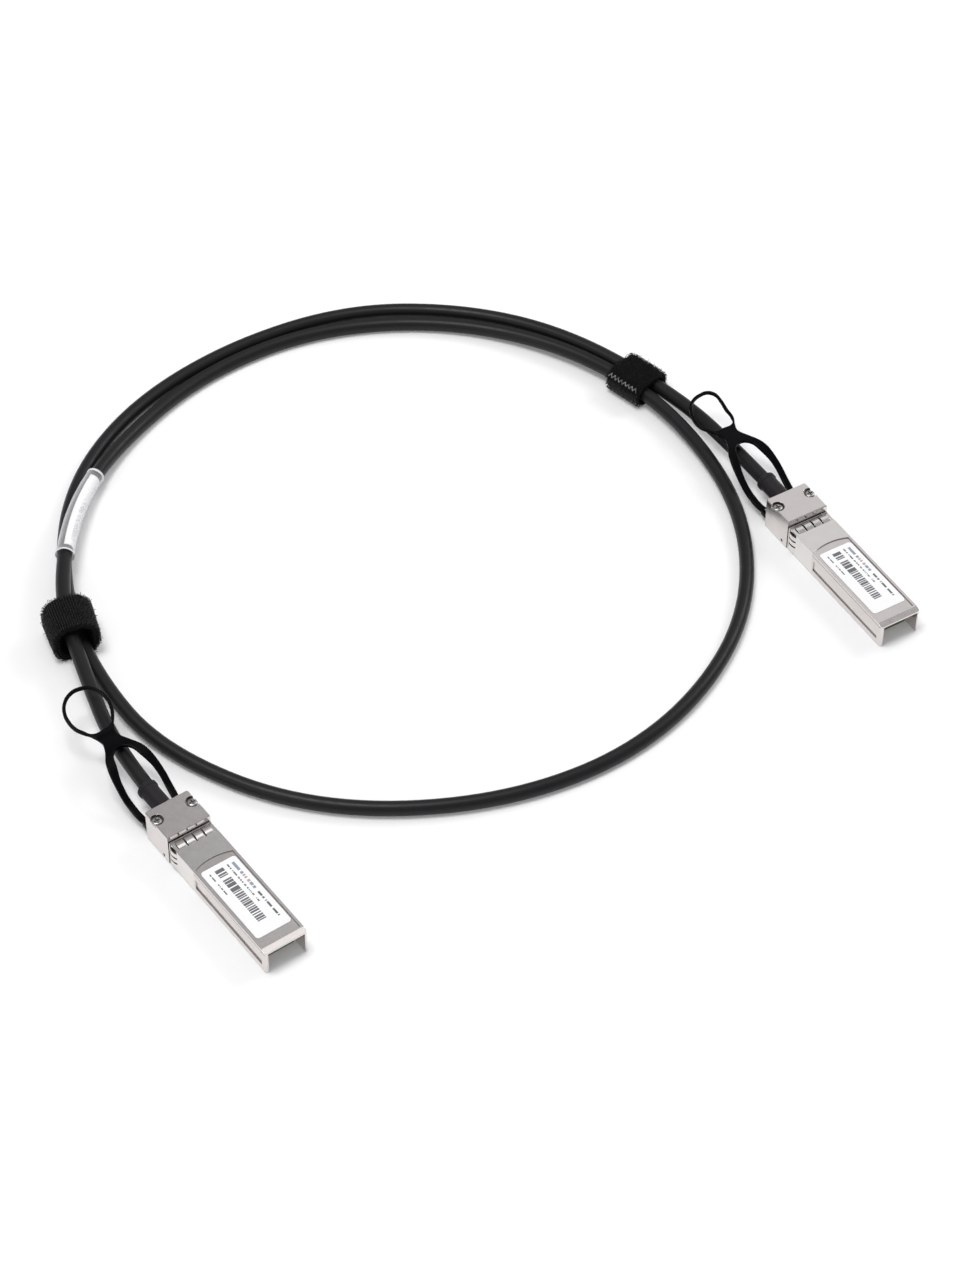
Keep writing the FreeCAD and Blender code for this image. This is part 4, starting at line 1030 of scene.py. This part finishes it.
# %% The stretch of cable under the sleeve
SLEEVE_FROM, SLEEVE_TO = (Vector((28.9, 111.85, 8.1)) * MM, Vector((54.45, 137.4, 4.75)) * MM)


def nearest(points, target):
    return min(range(len(points)), key=lambda i: (points[i] - target).length)


def even_stretch(points, start, end, count):
    """Evenly spaced points along a stretch of a line."""
    part = points[nearest(points, start) : nearest(points, end) + 1]
    lengths = [0.0]
    for a, b in zip(part, part[1:]):
        lengths.append(lengths[-1] + (b - a).length)
    result, k = [], 0
    for i in range(count):
        want = lengths[-1] * i / (count - 1)
        while k < len(part) - 2 and lengths[k + 1] < want:
            k += 1
        result.append(part[k].lerp(part[k + 1], (want - lengths[k]) / (lengths[k + 1] - lengths[k])))
    return result


sleeve_line = even_stretch(cable_line, SLEEVE_FROM, SLEEVE_TO, 61)
print("sleeve is %.1f mm long" % (1000 * sum((b - a).length for a, b in zip(sleeve_line, sleeve_line[1:]))))


# %% Tube round a line
def round_rings(line, radius, slices, turn=0.0, share=1.0):
    """Rings round a line; radius is a function of (share along, angle), in millimetres."""
    rings = []
    for i, point in enumerate(line):
        ahead = line[min(i + 1, len(line) - 1)] - line[max(i - 1, 0)]
        side = ahead.cross(Vector((0, 0, 1))).normalized()
        up = side.cross(ahead).normalized()
        ring = []
        for j in range(slices if share == 1.0 else slices + 1):
            angle = turn + 2 * math.pi * share * j / slices
            r = radius(i / (len(line) - 1), angle) * MM
            ring.append(point + (side * math.cos(angle) + up * math.sin(angle)) * r)
        rings.append(ring)
    return rings


print("ring helper ready")

# %% [markdown]
# The film is a closed thin tube, drawn as an outside skin that turns back along the inside. Its cut ends and
# the places where it is seen edge-on look milky. The paper goes only part of the way round, from the lower
# right over the top, and carries a row of small slanted grey bars that say nothing.


# %% Film
def film_radius(s, angle):
    """Slack film: a little oval, flared at its two ends."""
    flare = max(0.0, abs(s - 0.5) * 2 - 0.9) / 0.1
    return 2.62 + 0.1 * math.cos(angle - 2.6) ** 2 + 0.18 * flare**2 + 0.02 * math.sin(5 * angle + 30 * s)


def tube_wall(name, line, radius, wall, finish, slices=40):
    """A closed thin tube: outside skin, then the same line back along the inside."""
    outer = round_rings(line, radius, slices)
    inner = round_rings(line, lambda s, a: radius(s, a) - wall, slices)
    return grid_mesh(name, outer + inner[::-1] + [outer[0]], finish, caps=False)


film = Finish("clear_film", (0.93, 0.94, 0.95), 0.12)
edge_on = film.add("ShaderNodeLayerWeight", {"Blend": 0.35})["Facing"]
milky = film.remap(film.sum("POWER", edge_on, 1.6), 0.0, 1.0, 0.03, 0.85)
u, v = film.unrolled()
cut_end = film.sum("LESS_THAN", film.sum("PINGPONG", u, 0.25), 0.009)
film.set("Alpha", film.sum("MAXIMUM", milky, film.product(cut_end, 0.85)))
sleeve = tube_wall("marker_film", sleeve_line, film_radius, 0.1, film)
print("film has", len(sleeve.data.polygons), "faces")


# %% Paper marker
def partial_wrap(name, line, radius, wall, span, finish, slices=30):
    """A thin sheet bent round a line between two angles, in degrees."""
    first, share = math.radians(span[0]), (span[1] - span[0]) / 360
    outer = round_rings(line, lambda s, a: radius, slices, first, share)
    inner = round_rings(line, lambda s, a: radius - wall, slices, first, share)
    return grid_mesh(name, [a + b[::-1] for a, b in zip(outer, inner)], finish)


PAPER_SPAN, PAPER_INSET = (-120.0, 100.0), 4
paper = Finish("marker_paper", (0.92, 0.92, 0.92), 0.6)
u, v = paper.unrolled()
along = paper.sum("ADD", paper.product(u, 33.0), paper.product(v, 14.0))
even = paper.sum("LESS_THAN", paper.sum("PINGPONG", along, 0.38), 0.17)
row = paper.product(paper.within(v, 0.30, 0.385), paper.within(u, 0.08, 0.66))
bars = paper.product(row, even, columns(paper, along, 0.76, 0.85, 7.5))
plain_tone = paper.blend(paper.noise(paper.place(), 0.4), (0.93, 0.93, 0.93), (0.96, 0.96, 0.96))
paper.tone(paper.product(bars, 0.75), plain_tone, (0.30, 0.30, 0.34))
paper.bump(paper.noise(paper.place(), 3.0), 0.15, 0.03)
under_paper = sleeve_line[PAPER_INSET:-PAPER_INSET]
marker = partial_wrap("marker_label", under_paper, 2.36, 0.08, PAPER_SPAN, paper)
for piece, node in ((sleeve, "marker_sleeve"), (marker, "marker_paper")):
    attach(piece, "coil")
    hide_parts(node)
print("marker has", len(marker.data.polygons), "faces")
